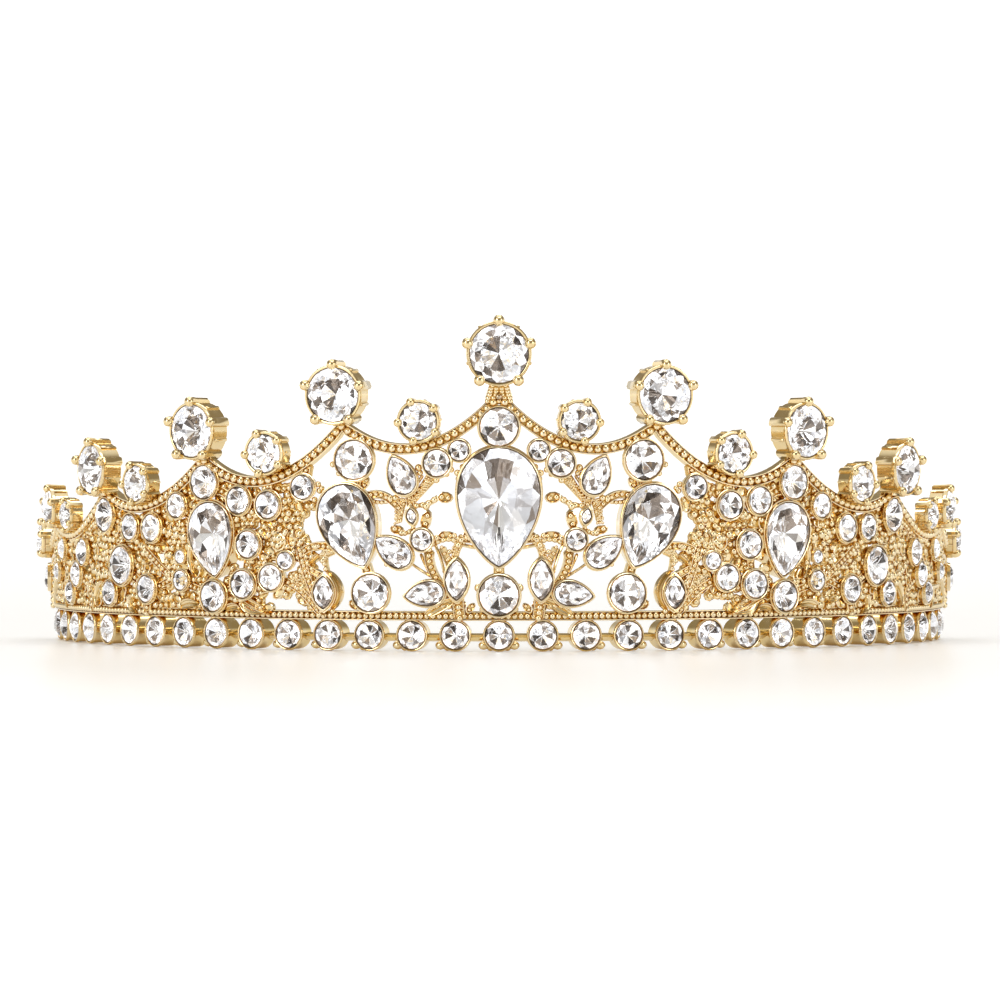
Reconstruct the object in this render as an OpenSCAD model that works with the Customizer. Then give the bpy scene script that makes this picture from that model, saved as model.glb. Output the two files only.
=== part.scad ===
// Baroque tiara: a half-round band of set stones, a pierced wall of scrolls and pear stones above it,
// scalloped rails between the peaks, and a pin loop at each open end. The front faces -Y, +Z is up.
// Angles run round the head circle from the front, positive to the right. All sizes are millimetres.

/* [Head circle] */
// Radius to the girdles of the band's stones
band_r = 68.9; // [60:0.1:78]
// Radius to the girdles of the stones in the wall
wall_r = 70.5; // [62:0.1:80]
// Radius to the girdles of the stones on the peaks
peak_r = 72.8; // [64:0.1:82]
// Angle from the front to each pin loop
loop_angle = 126; // [100:1:140]

/* [Band] */
// Stones in the band on each side of the front one
band_side = 16; // [10:1:18]
// Angle between band stones
band_step = 5.66; // [5.4:0.02:6.5]
// Diameter of a band stone
band_stone = 4.15; // [3.5:0.05:4.5]
// Depth of a band cup from front to back
band_cup_deep = 3.4; // [2.5:0.1:4.5]
// Metal round a band stone
band_cup_wall = 0.36; // [0.3:0.02:0.8]
// Height of the rail on top of the band
rail_high = 1.5; // [1:0.1:2.5]

/* [Settings] */
// Metal round a stone in the wall
cup_wall = 0.5; // [0.4:0.05:0.8]
// Gap between a stone and its metal
seat_gap = 0.12; // [0.1:0.01:0.2]
// Rise of a cup's rim above its stone's girdle
rim_rise = 0.05; // [0:0.05:0.3]
// Depth of a stone under its girdle, as a share of its width
round_deep = 0.36; // [0.3:0.01:0.43]
// Depth of a pear or pointed stone under its girdle, as a share of its width
pear_deep = 0.28; // [0.2:0.01:0.4]
// Prongs round a peak stone
prongs = 5; // [4:1:6]
// Width of a prong's head, as a share of its stone
prong_share = 0.16; // [0.12:0.01:0.25]

/* [Rails and scrolls] */
// Height of the scalloped rails
swag_high = 1.8; // [1.2:0.1:2.6]
// Radius to the back of rails and scrolls
metal_back = 68.6; // [66:0.1:70]
// Radius to the front of the scrolls
metal_front = 70.0; // [68.5:0.1:71]

/* [Ends] */
// Height of the plain end wire where it leaves the band
wire_high = 2.1; // [1.4:0.1:3]
// Diameter of the loop's round wire
loop_wire = 1.65; // [1.2:0.05:2.5]
// Diameter of the hole in a loop
loop_hole = 4.4; // [3:0.1:7]

/* [Hidden] */
// Large peaks, columns: angle, height, stone diameter, set back from peak_r
peaks = [
    [20.7, 39.75, 8.3, 0],
    [41.0, 33.85, 8.0, 0],
    [60.9, 27.45, 7.4, 0],
    [77.0, 20.95, 5.4, 0.6],
    [88.0, 15.65, 4.9, 1.2]
];
front_peak = [0, 46.25, 9.0, 0];
// Small peaks that stand in the dips, same columns
small_peaks = [
    [9.9, 35.75, 5.7, 0],
    [30.1, 30.55, 5.8, 0],
    [51.3, 25.45, 5.4, 0.3],
    [69.9, 20.0, 4.3, 0.8]
];
// Pears at the front and sides, columns: angle, height, width, length, turn
front_pear = [0, 22.45, 12.7, 18.2, 180];
side_pears = [
    [19.2, 19.4, 9.0, 13.0, 159],
    [39.4, 17.05, 8.4, 11.3, 171]
];
// Round stones over and under the front pear, columns: angle, height, diameter
crest_stone = [0, 34.85, 5.8];
base_stone = [0, 8.75, 6.0];
// Larger round stones on each side
rounds = [
    [18.6, 29.65, 5.9],
    [16.4, 9.05, 5.6],
    [40.6, 25.85, 5.0],
    [56.7, 12.55, 5.7],
    [60.7, 20.3, 5.0]
];
// Small round stones on each side, columns: angle, height, diameter
small_rounds = [
    [5.05, 31.2, 3.0], [7.85, 29.25, 4.0], [9.8, 17.35, 3.1], [25.65, 25.35, 3.6],
    [30.66, 22.5, 4.0], [35.1, 23.15, 4.0], [45.4, 22.15, 3.6], [33.6, 16.35, 4.0],
    [30.2, 11.3, 3.8], [34.4, 10.15, 4.1], [39.1, 8.2, 4.5],
    [51.2, 9.05, 4.0], [50.2, 18.55, 4.0],
    [54.7, 18.55, 3.8], [59.5, 8.2, 3.6], [67.3, 14.35, 3.8], [69.4, 10.85, 3.6],
    [71.8, 7.95, 3.2], [75.4, 14.6, 3.0], [90.0, 9.65, 3.8]
];
// Small pears on each side, columns: angle, height, width, length, turn
small_pears = [
    [12.5, 27.35, 4.0, 6.0, -26],
    [9.45, 8.95, 3.6, 5.8, -97],
    [13.5, 15.6, 4.0, 6.3, -55]
];
// Small stones pointed at both ends, same columns
navettes = [
    [5.35, 11.15, 3.4, 6.0, 0],
    [22.75, 9.05, 3.2, 4.8, 0]
];
// Scalloped rails on each side, columns: start angle, start height, end angle, end height, dip
swags = [
    [0, 39.55, 20.4, 34.85, 5.6],
    [20.4, 34.85, 41.0, 29.35, 5.7],
    [41.0, 29.35, 61.0, 23.85, 4.5],
    [61.0, 23.85, 80.0, 18.85, 4.2],
    [80.0, 18.85, 91.4, 14.3, 1.6]
];
// Scrolls on each side, columns: angle and height at the start, middle and end, then both widths
scrolls = [
    [17.2, 23.6, 14.9, 24.2, 12.2, 21.2, 1.5, 1.3],
    [7.9, 27.6, 9.1, 25.2, 10.6, 22.4, 1.3, 1.1],
    [10.4, 21.2, 8.6, 23.4, 6.6, 24.2, 1.3, 1.8],
    [10.4, 18.4, 12.2, 20.1, 13.7, 19.1, 1.3, 1.8],
    [9.75, 15.95, 9.2, 13.2, 7.7, 9.9, 1.7, 1.3],
    [7.5, 15.4, 7.0, 18.5, 5.2, 18.0, 1.4, 1.3],
    [5.2, 18.0, 4.5, 16.2, 5.3, 13.8, 1.3, 1.3],
    [9.4, 5.6, 7.2, 7.2, 5.2, 8.3, 1.4, 1.3],
    [20.2, 15.5, 24.0, 16.2, 26.6, 14.4, 1.5, 1.3],
    [26.4, 16.4, 25.3, 11.8, 23.0, 5.4, 1.4, 1.2],
    [28.8, 22.1, 26.8, 19.4, 26.2, 15.9, 1.4, 1.3],
    [28.6, 10.9, 25.9, 9.0, 23.4, 5.7, 1.2, 1.2],
    [35.8, 20.1, 31.8, 20.6, 28.2, 17.6, 1.3, 1.2],
    [32.0, 18.3, 29.6, 17.2, 26.8, 14.8, 1.6, 1.3],
    [36.6, 8.8, 33.4, 7.2, 30.6, 5.5, 1.2, 1.3],
    [43.2, 16.8, 45.8, 17.6, 48.6, 18.2, 2.0, 1.5],
    [52.6, 15.6, 49.4, 13.0, 46.0, 10.4, 1.4, 1.2],
    [54.9, 16.8, 52.4, 15.0, 54.6, 13.0, 1.5, 1.4],
    [60.6, 17.6, 62.0, 14.8, 59.2, 12.8, 1.5, 1.4],
    [62.6, 19.4, 65.6, 18.2, 66.8, 15.8, 1.5, 1.3],
    [59.2, 11.6, 62.8, 11.0, 66.2, 13.2, 1.4, 1.3],
    [65.6, 5.4, 65.6, 8.2, 68.4, 10.0, 1.3, 1.3],
    [69.0, 14.8, 71.4, 16.2, 74.0, 15.2, 1.4, 1.3],
    [78.8, 11.2, 83.6, 12.8, 88.4, 10.9, 1.4, 1.4],
    [80.4, 17.6, 82.8, 15.0, 81.4, 12.0, 1.5, 1.3],
    [91.2, 14.6, 92.6, 10.0, 91.2, 5.2, 1.6, 1.6]
];
// Short links on each side, columns: angle and height at each end, then the width
links = [
    [3.1, 17.4, 5.2, 17.6, 1.3], [7.3, 16.2, 6.2, 13.2, 1.2], [5.3, 8.6, 5.0, 5.2, 2.0],
    [11.6, 24.8, 11.2, 21.8, 1.3], [18.8, 27.0, 18.9, 24.8, 1.8], [17.3, 13.6, 16.8, 11.6, 1.7],
    [14.9, 16.8, 17.0, 17.6, 1.2], [22.9, 11.4, 25.2, 12.8, 1.1], [25.5, 27.0, 25.2, 28.8, 1.5],
    [36.6, 23.8, 38.7, 24.8, 1.5], [30.7, 24.4, 31.0, 26.2, 1.5], [35.9, 9.6, 37.6, 8.8, 1.4],
    [33.9, 14.2, 34.2, 12.2, 1.4], [42.6, 20.2, 44.6, 21.6, 1.7], [41.2, 9.0, 46.6, 10.8, 1.3],
    [51.4, 7.2, 51.7, 5.2, 1.7], [46.8, 10.6, 49.8, 9.2, 1.2], [52.8, 9.9, 54.8, 11.2, 1.6],
    [56.4, 18.9, 58.8, 19.6, 1.7], [50.3, 20.3, 50.4, 22.0, 1.7], [76.0, 13.6, 79.8, 11.4, 1.4],
    [90.0, 8.0, 90.2, 5.2, 1.9], [67.4, 16.0, 67.8, 17.8, 1.5]
];

// Upright posts at the front, same columns
front_posts = [
    [0, 42.25, 0, 39.05, 3.0],
    [0, 14.2, 0, 11.2, 1.8]
];

// Crown height and table width of a stone, as shares of its width
crown_share = 0.16;
table_share = 0.58;
// The front pear is cut flatter: depth, crown height and table width, as shares of its width
front_pear_deep = 0.224;
front_crown_share = 0.13;
front_table_share = 0.56;
// Corners of the stones' girdles, of their tables and of the cups
stone_sides = 8;
table_sides = 4;
cup_sides = 6;
small_pear_sides = 8;
pear_sides = 10;
front_pear_sides = 16;
navette_sides = 8;
// Width of a pear's belly, and how slim pears and pointed stones run out to their tips
pear_belly = 0.588;
pear_slim = 0.55;
navette_slim = 0.6;

// Metal under the point of a round, a pear and a pointed stone, and the least depth of a round cup
round_floor = 0.8;
pear_floor = 0.9;
navette_floor = 1.1;
least_cup = 2;
// Width of a cup's base as a share of its rim: round, small and pointed, side pear, front pear
round_base = 0.76;
small_base = 0.75;
pear_base = 0.85;
front_base = 0.88;
// Metal and gap at a tip, as multiples of those at the sides
pear_tip_metal = 1.3;
pear_tip_gap = 1.7;
navette_tip_metal = 1.6;
navette_tip_gap = 2;
navette_side_gap = 1.2;
// Gap behind a stone's point as a multiple of the gap at its side, and the cut's reach past the rim
point_gap = 2.2;
rim_clear = 0.02;
// Peak settings: ribs and wall beyond the seat at the foot, wall at the rim, thickness of the floor
foot_rib = 0.5;
foot_wall = 0.3;
rim_wall = 0.38;
drum_floor = 0.5;

band_cup_across = cup_across(band_stone, cup_sides) + 2 * band_cup_wall;
band_z = band_cup_across / 2 * cos(180 / cup_sides);
band_end = band_side * band_step;
// The band's rail: pieces on each side, sink into the cups, reach past the last cup in degrees, depth
rail_steps = 11;
rail_sunk = 0.23;
rail_past = 1.6;
rail_back = band_r - 1.4;
rail_front = band_r + 0.5;
rail_z = 2 * band_z + rail_high / 2 - rail_sunk;
// Scalloped rails stand out from the scrolls behind and in front, and links lie within them
swag_back = metal_back - 0.2;
swag_front = metal_front + 0.1;
link_inset = 0.1;
// Pieces of a scalloped rail, and the span in degrees under which it takes the fewer
swag_steps = 5;
short_swag_steps = 3;
short_swag = 15;
// Pieces of a scroll, and the run over which it takes the more
scroll_steps = 2;
long_scroll_steps = 3;
long_scroll = 7.5;
// Arc length of one degree on the wall
mm_a_degree = wall_r * PI / 180;
// End wires: depth, pieces, height at the loop, and how far they sink into its ring
wire_back = band_r - 3.2;
wire_front = band_r - 1.9;
wire_steps = 7;
wire_end_high = 1.4;
wire_sunk = 0.2;
loop_in_r = band_r - 2.5;
loop_r = (loop_hole + loop_wire) / 2;
loop_z = loop_r + loop_wire / 2;
// Shift of the head circle that brings the origin to the middle of the outline seen from above
front_reach = peak_r + front_peak[2] * crown_share;
back_reach = (loop_r + loop_wire / 2) * sin(loop_angle) - loop_in_r * cos(loop_angle);
circle_y = (front_reach - back_reach) / 2;
// Sections of a bar: half widths across it and shares of its depth
flat_top = [[-1, 0], [-0.85, 1], [0.85, 1], [1, 0]];
ridge = [[-1, 0], [0, 1], [1, 0]];

// A point on the head circle
function spot(angle, high, r) = [r * sin(angle), -r * cos(angle), high];

// Outlines run clockwise seen from the front, with a pear's tip at the top
function round_outline(w, n, first = 0.5) =
    [for (i = [0 : n - 1]) let (t = 360 * (i + first) / n) [w / 2 * sin(t), w / 2 * cos(t)]];
function pear_outline(w, l, n) =
    [for (i = [0 : n - 1]) let (t = 360 * i / n)
        [pear_belly * w * sin(t) * pow(sin(t / 2), pear_slim), l / 2 * cos(t)]];
function navette_outline(w, l, n) =
    [for (i = [0 : n - 1]) let (t = 360 * i / n)
        [w / 2 * sin(t) * pow(abs(sin(t)), navette_slim), l / 2 * cos(t)]];
// Outlines of a pear's or pointed stone's row, grown by a margin at the sides and a multiple of it at tips
function pear_round(row, n, margin, tip) = pear_outline(row[2] + 2 * margin, row[3] + 2 * tip * margin, n);
function navette_round(row, margin, tip) =
    navette_outline(row[2] + 2 * margin, row[3] + 2 * tip * margin, navette_sides);
function lift(outline, z, share = 1) = [for (p = outline) [p[0] * share, p[1] * share, z]];

// Puts a piece on the head circle with its own +Z outward and its +Y up
module on_circle(angle, high, r, turn = 0) {
    rotate([0, 0, angle]) translate([0, -r, high]) rotate([90, 0, 0]) rotate([0, 0, turn]) children();
}

module both_sides() {
    children();
    mirror([1, 0, 0]) children();
}

module side(sign) {
    if (sign > 0) children();
    else mirror([1, 0, 0]) children();
}

module place_circle() {
    translate([0, circle_y, 0]) children();
}

module wrap(points) {
    hull() polyhedron(points = points, faces = [[for (i = [0 : len(points) - 1]) i]]);
}

// A cut stone: a flat table, a ring of crown facets and a pointed back
module gem(outline, table, deep) {
    wrap(concat(outline, table, [[0, 0, -deep]]));
}

module round_gem(d, n = stone_sides, first = 0.5, table_n = table_sides) {
    gem(lift(round_outline(d, n, first), 0),
        lift(round_outline(d * table_share, table_n), d * crown_share), d * round_deep);
}

module pear_gem(w, l, n, crown = crown_share, table = table_share, deep = pear_deep) {
    gem(lift(pear_outline(w, l, n), 0), lift(pear_outline(w, l, n), w * crown, table), w * deep);
}

module navette_gem(w, l, n) {
    gem(lift(navette_outline(w, l, n), 0),
        lift(navette_outline(w, l, n), w * crown_share, table_share), w * pear_deep);
}

// The space that a stone and its gap take out of the metal
module seat(inner, deep) {
    // The cone is carried on just past the rim, so that it stays clear of the girdle
    reach = rim_rise + rim_clear;
    apex = deep + point_gap * seat_gap;
    wrap(concat(lift(inner, reach, 1 + reach / apex), [[0, 0, -apex]]));
}

// A cup with fewer corners than its stone is larger by the sagitta of its sides
function cup_across(d, n) = (d + 2 * seat_gap) / (n < stone_sides ? cos(180 / n) : 1);

module round_seat(d, n) {
    seat(round_outline(cup_across(d, n), n), d * round_deep);
}

// The metal of a cup, from its rim back to its closed base
module cup_body(outer, deep, base_share) {
    wrap(concat(lift(outer, rim_rise), lift(outer, -deep, base_share)));
}

module round_cup(d, n) {
    cup_body(round_outline(cup_across(d, n) + 2 * (cup_wall - seat_gap), n),
        max(d * round_deep + round_floor, least_cup), round_base);
}

// The setting of a peak: a fluted drum with a flat floor, whose ribs rise into prongs round the stone
module crown_setting(d) {
    n = 2 * prongs;
    back = -d * round_deep - round_floor;
    inner = d / 2 + seat_gap;
    rib = d * prong_share;
    head = d * crown_share;
    loft([
        fluted(inner + foot_rib, inner + foot_wall, back, back, n),
        fluted(inner + rib, inner + rim_wall, head, rim_rise, n),
        fluted(inner, inner, head, rim_rise, n),
        fluted(inner, inner, back + drum_floor, back + drum_floor, n)]);
}

// A ring of points that steps between the ribs and the hollows beside them
function fluted(rib_r, hollow_r, rib_z, hollow_z, n) =
    [for (i = [0 : n - 1]) let (t = 360 * i / n, r = i % 2 == 0 ? rib_r : hollow_r)
        [r * sin(t), r * cos(t), i % 2 == 0 ? rib_z : hollow_z]];

module peak_metal(row) {
    on_circle(row[0], row[1], peak_r - row[3]) crown_setting(row[2]);
}

// A bar through rows of angle, height and width, with a flat-topped or a ridged section
module bar(path, back, front, section = flat_top) {
    last = len(path) - 1;
    rings = [for (i = [0 : last]) let (
        before = path[max(i - 1, 0)],
        after = path[min(i + 1, last)],
        along = [(after[0] - before[0]) * mm_a_degree, after[1] - before[1]],
        across = [-along[1], along[0]] / norm(along),
        half_w = path[i][2] / 2)
        [for (c = section) spot(path[i][0] + across[0] * c[0] * half_w / mm_a_degree,
            path[i][1] + across[1] * c[0] * half_w, back + (front - back) * c[1])]];
    loft(rings);
}

module loft(rings) {
    n = len(rings[0]);
    last = len(rings) - 1;
    polyhedron(
        points = [for (ring = rings) each ring],
        faces = concat(
            [[for (i = [n - 1 : -1 : 0]) i]],
            [for (j = [0 : last - 1]) for (i = [0 : n - 1]) let (k = (i + 1) % n)
                each [[j * n + i, j * n + k, j * n + n + k], [j * n + i, j * n + n + k, j * n + n + i]]],
            [[for (i = [0 : n - 1]) last * n + i]]));
}

// A curve through three points, as rows of angle, height and width
function curve(row, steps) =
    [for (s = [0 : steps]) let (t = s / steps, a = (1 - t) * (1 - 2 * t), b = 4 * t * (1 - t),
        c = t * (2 * t - 1))
        [a * row[0] + b * row[2] + c * row[4], a * row[1] + b * row[3] + c * row[5],
            row[6] + (row[7] - row[6]) * t]];

// Length of a scroll from its start by its middle to its end
function run(row) = norm([(row[2] - row[0]) * mm_a_degree, row[3] - row[1]])
    + norm([(row[4] - row[2]) * mm_a_degree, row[5] - row[3]]);

// Height of the scalloped rail at a share of one scallop
function hang(row, t) = row[1] + (row[3] - row[1]) * t - row[4] * 4 * t * (1 - t);
swag_path = concat([[0, swags[0][1], swag_high]],
    [for (row = swags) let (n = row[2] - row[0] > short_swag ? swag_steps : short_swag_steps)
        for (s = [1 : n]) [row[0] + (row[2] - row[0]) * s / n, hang(row, s / n), swag_high]]);

module band_metal() {
    for (i = [-band_side : band_side]) on_circle(i * band_step, band_z, band_r)
        wrap(concat(lift(round_outline(band_cup_across, cup_sides), rim_rise),
            lift(round_outline(band_cup_across, cup_sides), -band_cup_deep)));
    rail_end = band_end + rail_past;
    bar([for (i = [-rail_steps : rail_steps]) [rail_end * i / rail_steps, rail_z, rail_high]],
        rail_back, rail_front);
}

module end_wire() {
    finish = loop_angle - (loop_r - wire_sunk) * 180 / PI / wire_front;
    bar([for (i = [0 : wire_steps]) let (t = i / wire_steps)
        [band_end + (finish - band_end) * t, band_z + (loop_z - band_z) * t,
            wire_high + (wire_end_high - wire_high) * t]], wire_back, wire_front);
    on_circle(loop_angle, loop_z, loop_in_r)
        rotate_extrude($fn = 10) translate([loop_r, 0]) circle(d = loop_wire, $fn = 5);
}

// A straight bar between the two ends of a row
module strut(row, back, front, section) {
    bar([[row[0], row[1], row[4]], [row[2], row[3], row[4]]], back, front, section);
}

module pear_cup(row, n, deep, base_share) {
    on_circle(row[0], row[1], wall_r, row[4])
        cup_body(pear_round(row, n, cup_wall, pear_tip_metal), row[2] * deep + pear_floor, base_share);
}

module pear_seat(row, n, deep) {
    on_circle(row[0], row[1], wall_r, row[4])
        seat(pear_round(row, n, seat_gap, pear_tip_gap), row[2] * deep);
}

module wall_metal() {
    bar(swag_path, swag_back, swag_front);
    for (row = scrolls)
        bar(curve(row, run(row) > long_scroll ? long_scroll_steps : scroll_steps),
            metal_back, metal_front, ridge);
    for (row = links) strut(row, metal_back + link_inset, metal_front - link_inset, ridge);
    for (row = rounds) on_circle(row[0], row[1], wall_r) round_cup(row[2], stone_sides);
    for (row = small_rounds) on_circle(row[0], row[1], wall_r) round_cup(row[2], cup_sides);
    for (row = small_pears) pear_cup(row, small_pear_sides, pear_deep, small_base);
    for (row = side_pears) pear_cup(row, pear_sides, pear_deep, pear_base);
    for (row = navettes) on_circle(row[0], row[1], wall_r, row[4])
        cup_body(navette_round(row, cup_wall, navette_tip_metal),
            row[2] * pear_deep + navette_floor, small_base);
    for (row = concat(peaks, small_peaks)) peak_metal(row);
}

module front_metal() {
    peak_metal(front_peak);
    for (row = front_posts) strut(row, metal_back, metal_front, flat_top);
    for (row = [crest_stone, base_stone]) on_circle(row[0], row[1], wall_r)
        round_cup(row[2], stone_sides);
    pear_cup(front_pear, front_pear_sides, front_pear_deep, front_base);
}

module wall_seats() {
    for (row = rounds) on_circle(row[0], row[1], wall_r) round_seat(row[2], stone_sides);
    for (row = small_rounds) on_circle(row[0], row[1], wall_r) round_seat(row[2], cup_sides);
    for (row = small_pears) pear_seat(row, small_pear_sides, pear_deep);
    for (row = side_pears) pear_seat(row, pear_sides, pear_deep);
    for (row = navettes) on_circle(row[0], row[1], wall_r, row[4])
        seat(navette_round(row, navette_side_gap * seat_gap, navette_tip_gap / navette_side_gap),
            row[2] * pear_deep);
}

module front_seats() {
    for (row = [crest_stone, base_stone]) on_circle(row[0], row[1], wall_r)
        round_seat(row[2], stone_sides);
    pear_seat(front_pear, front_pear_sides, front_pear_deep);
    for (i = [-band_side : band_side]) on_circle(i * band_step, band_z, band_r)
        round_seat(band_stone, cup_sides);
}

module tiara_frame() {
    color("gold") place_circle() difference() {
        union() {
            band_metal();
            front_metal();
            both_sides() {
                wall_metal();
                end_wire();
            }
        }
        front_seats();
        both_sides() wall_seats();
    }
}

module band_stones() {
    color("white") place_circle() for (i = [-band_side : band_side])
        on_circle(i * band_step, band_z, band_r) round_gem(band_stone);
}

module wall_stones(sign) {
    color("white") place_circle() side(sign) {
        for (row = small_rounds) on_circle(row[0], row[1], wall_r) round_gem(row[2]);
        for (row = small_pears) on_circle(row[0], row[1], wall_r, row[4])
            pear_gem(row[2], row[3], small_pear_sides);
        for (row = navettes) on_circle(row[0], row[1], wall_r, row[4])
            navette_gem(row[2], row[3], navette_sides);
    }
}

module peak_stone(row, sign) {
    color("white") place_circle() side(sign) on_circle(row[0], row[1], peak_r - row[3])
        round_gem(row[2], 2 * prongs, 0, 2 * prongs);
}

module round_stone(row, sign) {
    color("white") place_circle() side(sign) on_circle(row[0], row[1], wall_r)
        round_gem(row[2]);
}

module side_pear(row, sign) {
    color("white") place_circle() side(sign) on_circle(row[0], row[1], wall_r, row[4])
        pear_gem(row[2], row[3], pear_sides);
}

module front_pear_stone() {
    color("white") place_circle() on_circle(front_pear[0], front_pear[1], wall_r, front_pear[4])
        pear_gem(front_pear[2], front_pear[3], front_pear_sides, front_crown_share, front_table_share,
            front_pear_deep);
}

tiara_frame();
band_stones();
wall_stones(-1);  // wall_stones_left
wall_stones(1);  // wall_stones_right
front_pear_stone();
round_stone(crest_stone, 1);  // crest_round_stone
round_stone(base_stone, 1);  // base_round_stone
peak_stone(front_peak, 1);  // front_peak_stone
peak_stone(peaks[0], -1);  // peak_stone_left_1
peak_stone(peaks[1], -1);  // peak_stone_left_2
peak_stone(peaks[2], -1);  // peak_stone_left_3
peak_stone(peaks[3], -1);  // peak_stone_left_4
peak_stone(peaks[4], -1);  // peak_stone_left_5
peak_stone(peaks[0], 1);  // peak_stone_right_1
peak_stone(peaks[1], 1);  // peak_stone_right_2
peak_stone(peaks[2], 1);  // peak_stone_right_3
peak_stone(peaks[3], 1);  // peak_stone_right_4
peak_stone(peaks[4], 1);  // peak_stone_right_5
peak_stone(small_peaks[0], -1);  // small_peak_stone_left_1
peak_stone(small_peaks[1], -1);  // small_peak_stone_left_2
peak_stone(small_peaks[2], -1);  // small_peak_stone_left_3
peak_stone(small_peaks[3], -1);  // small_peak_stone_left_4
peak_stone(small_peaks[0], 1);  // small_peak_stone_right_1
peak_stone(small_peaks[1], 1);  // small_peak_stone_right_2
peak_stone(small_peaks[2], 1);  // small_peak_stone_right_3
peak_stone(small_peaks[3], 1);  // small_peak_stone_right_4
side_pear(side_pears[0], -1);  // side_pear_left_1
side_pear(side_pears[1], -1);  // side_pear_left_2
side_pear(side_pears[0], 1);  // side_pear_right_1
side_pear(side_pears[1], 1);  // side_pear_right_2
round_stone(rounds[0], -1);  // round_stone_left_1
round_stone(rounds[1], -1);  // round_stone_left_2
round_stone(rounds[2], -1);  // round_stone_left_3
round_stone(rounds[3], -1);  // round_stone_left_4
round_stone(rounds[4], -1);  // round_stone_left_5
round_stone(rounds[0], 1);  // round_stone_right_1
round_stone(rounds[1], 1);  // round_stone_right_2
round_stone(rounds[2], 1);  // round_stone_right_3
round_stone(rounds[3], 1);  // round_stone_right_4
round_stone(rounds[4], 1);  // round_stone_right_5
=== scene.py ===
import math
import random

import bmesh
import bpy
from mathutils import Matrix, Vector


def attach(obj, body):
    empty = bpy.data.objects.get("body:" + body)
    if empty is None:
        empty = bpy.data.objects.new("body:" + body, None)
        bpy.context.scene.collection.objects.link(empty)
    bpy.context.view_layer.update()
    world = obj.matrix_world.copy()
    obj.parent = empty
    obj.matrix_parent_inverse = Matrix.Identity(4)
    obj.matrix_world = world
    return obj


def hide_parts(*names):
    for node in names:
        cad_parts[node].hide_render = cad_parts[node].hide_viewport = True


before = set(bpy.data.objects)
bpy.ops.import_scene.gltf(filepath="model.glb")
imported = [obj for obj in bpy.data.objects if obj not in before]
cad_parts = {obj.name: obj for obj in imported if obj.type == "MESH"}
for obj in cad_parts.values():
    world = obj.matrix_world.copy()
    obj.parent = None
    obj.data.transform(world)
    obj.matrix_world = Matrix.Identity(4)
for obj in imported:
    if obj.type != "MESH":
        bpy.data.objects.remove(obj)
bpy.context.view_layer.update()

# Sizes in millimetres, as the metal and stones are built
head = {"bandR": 68.9, "wallR": 70.5, "peakR": 72.8}
ends = {"angle": 126, "wire": 1.65, "hole": 4.4, "inset": 2.5}
stoneCut = {"crown": 0.16, "deep": 0.36, "pearDeep": 0.28}
frontPeak = [0, 46.25, 9.0, 0]
loopR = (ends["hole"] + ends["wire"]) / 2
loopInR = head["bandR"] - ends["inset"]
frontReach = head["peakR"] + frontPeak[2] * stoneCut["crown"]
backReach = (loopR + ends["wire"] / 2) * math.sin(math.radians(ends["angle"])) \
    - loopInR * math.cos(math.radians(ends["angle"]))
circleY = (frontReach - backReach) / 2
degree = head["wallR"] * math.pi / 180
mm = 0.001


# Shader and geometry nodes
class Graph:
    def __init__(self, tree):
        self.tree = tree

    def add(self, kind, inputs=None, **settings):
        node = self.tree.nodes.new(kind)
        for key, value in settings.items():
            setattr(node, key, value)
        for key, value in (inputs or {}).items():
            socket = node.inputs[key]
            if isinstance(value, Number):
                value = value.socket
            if isinstance(value, bpy.types.NodeSocket):
                self.tree.links.new(value, socket)
            else:
                socket.default_value = value
        return node

    def number(self, socket):
        return Number(self, socket)

    def read(self, kind, output, inputs=None, **settings):
        return Number(self, self.add(kind, inputs, **settings).outputs[output])

    def link(self, socket, node, label):
        self.tree.links.new(socket, node.inputs[label])


class Number:
    def __init__(self, graph, socket):
        self.graph = graph
        self.socket = socket

    def math(self, kind, first, second=0.0, clamp=False):
        node = self.graph.add("ShaderNodeMath", {0: first, 1: second}, operation=kind, use_clamp=clamp)
        return Number(self.graph, node.outputs[0])

    def __add__(self, other):
        return self.math("ADD", self, other)

    def __sub__(self, other):
        return self.math("SUBTRACT", self, other)

    def __rsub__(self, other):
        return self.math("SUBTRACT", other, self)

    def __mul__(self, other):
        return self.math("MULTIPLY", self, other)

    def __truediv__(self, other):
        return self.math("DIVIDE", self, other)

    def between(self, low, high):
        return self.math("ADD", (self - low) / (high - low), 0.0, True)


def mixed(graph, share, first, second):
    node = graph.add("ShaderNodeMix", {0: share}, data_type="RGBA")
    for socket, value in ((node.inputs[6], first), (node.inputs[7], second)):
        if isinstance(value, bpy.types.NodeSocket):
            graph.tree.links.new(value, socket)
        else:
            socket.default_value = (*value, 1)
    return node.outputs[2]


def newFinish(name, settings):
    finish = bpy.data.materials.new(name)
    finish.use_nodes = True
    skin = finish.node_tree.nodes["Principled BSDF"]
    for label, value in settings.items():
        skin.inputs[label].default_value = value
    return finish, Graph(finish.node_tree), skin


# Gold: paler where the metal stands out from the head and amber behind, a painted shade by depth, and darker
# in the crevices, a painted shade from ambient occlusion
goldLook = {"behindR": 66.2, "outR": 70.4, "depthShadeShare": 0.65, "cloudScale": 600.0, "grainScale": 2600.0,
            "creviceShade": 0.9, "roughSpread": 0.09, "grain": 0.12, "grainHigh": 0.06}


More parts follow.
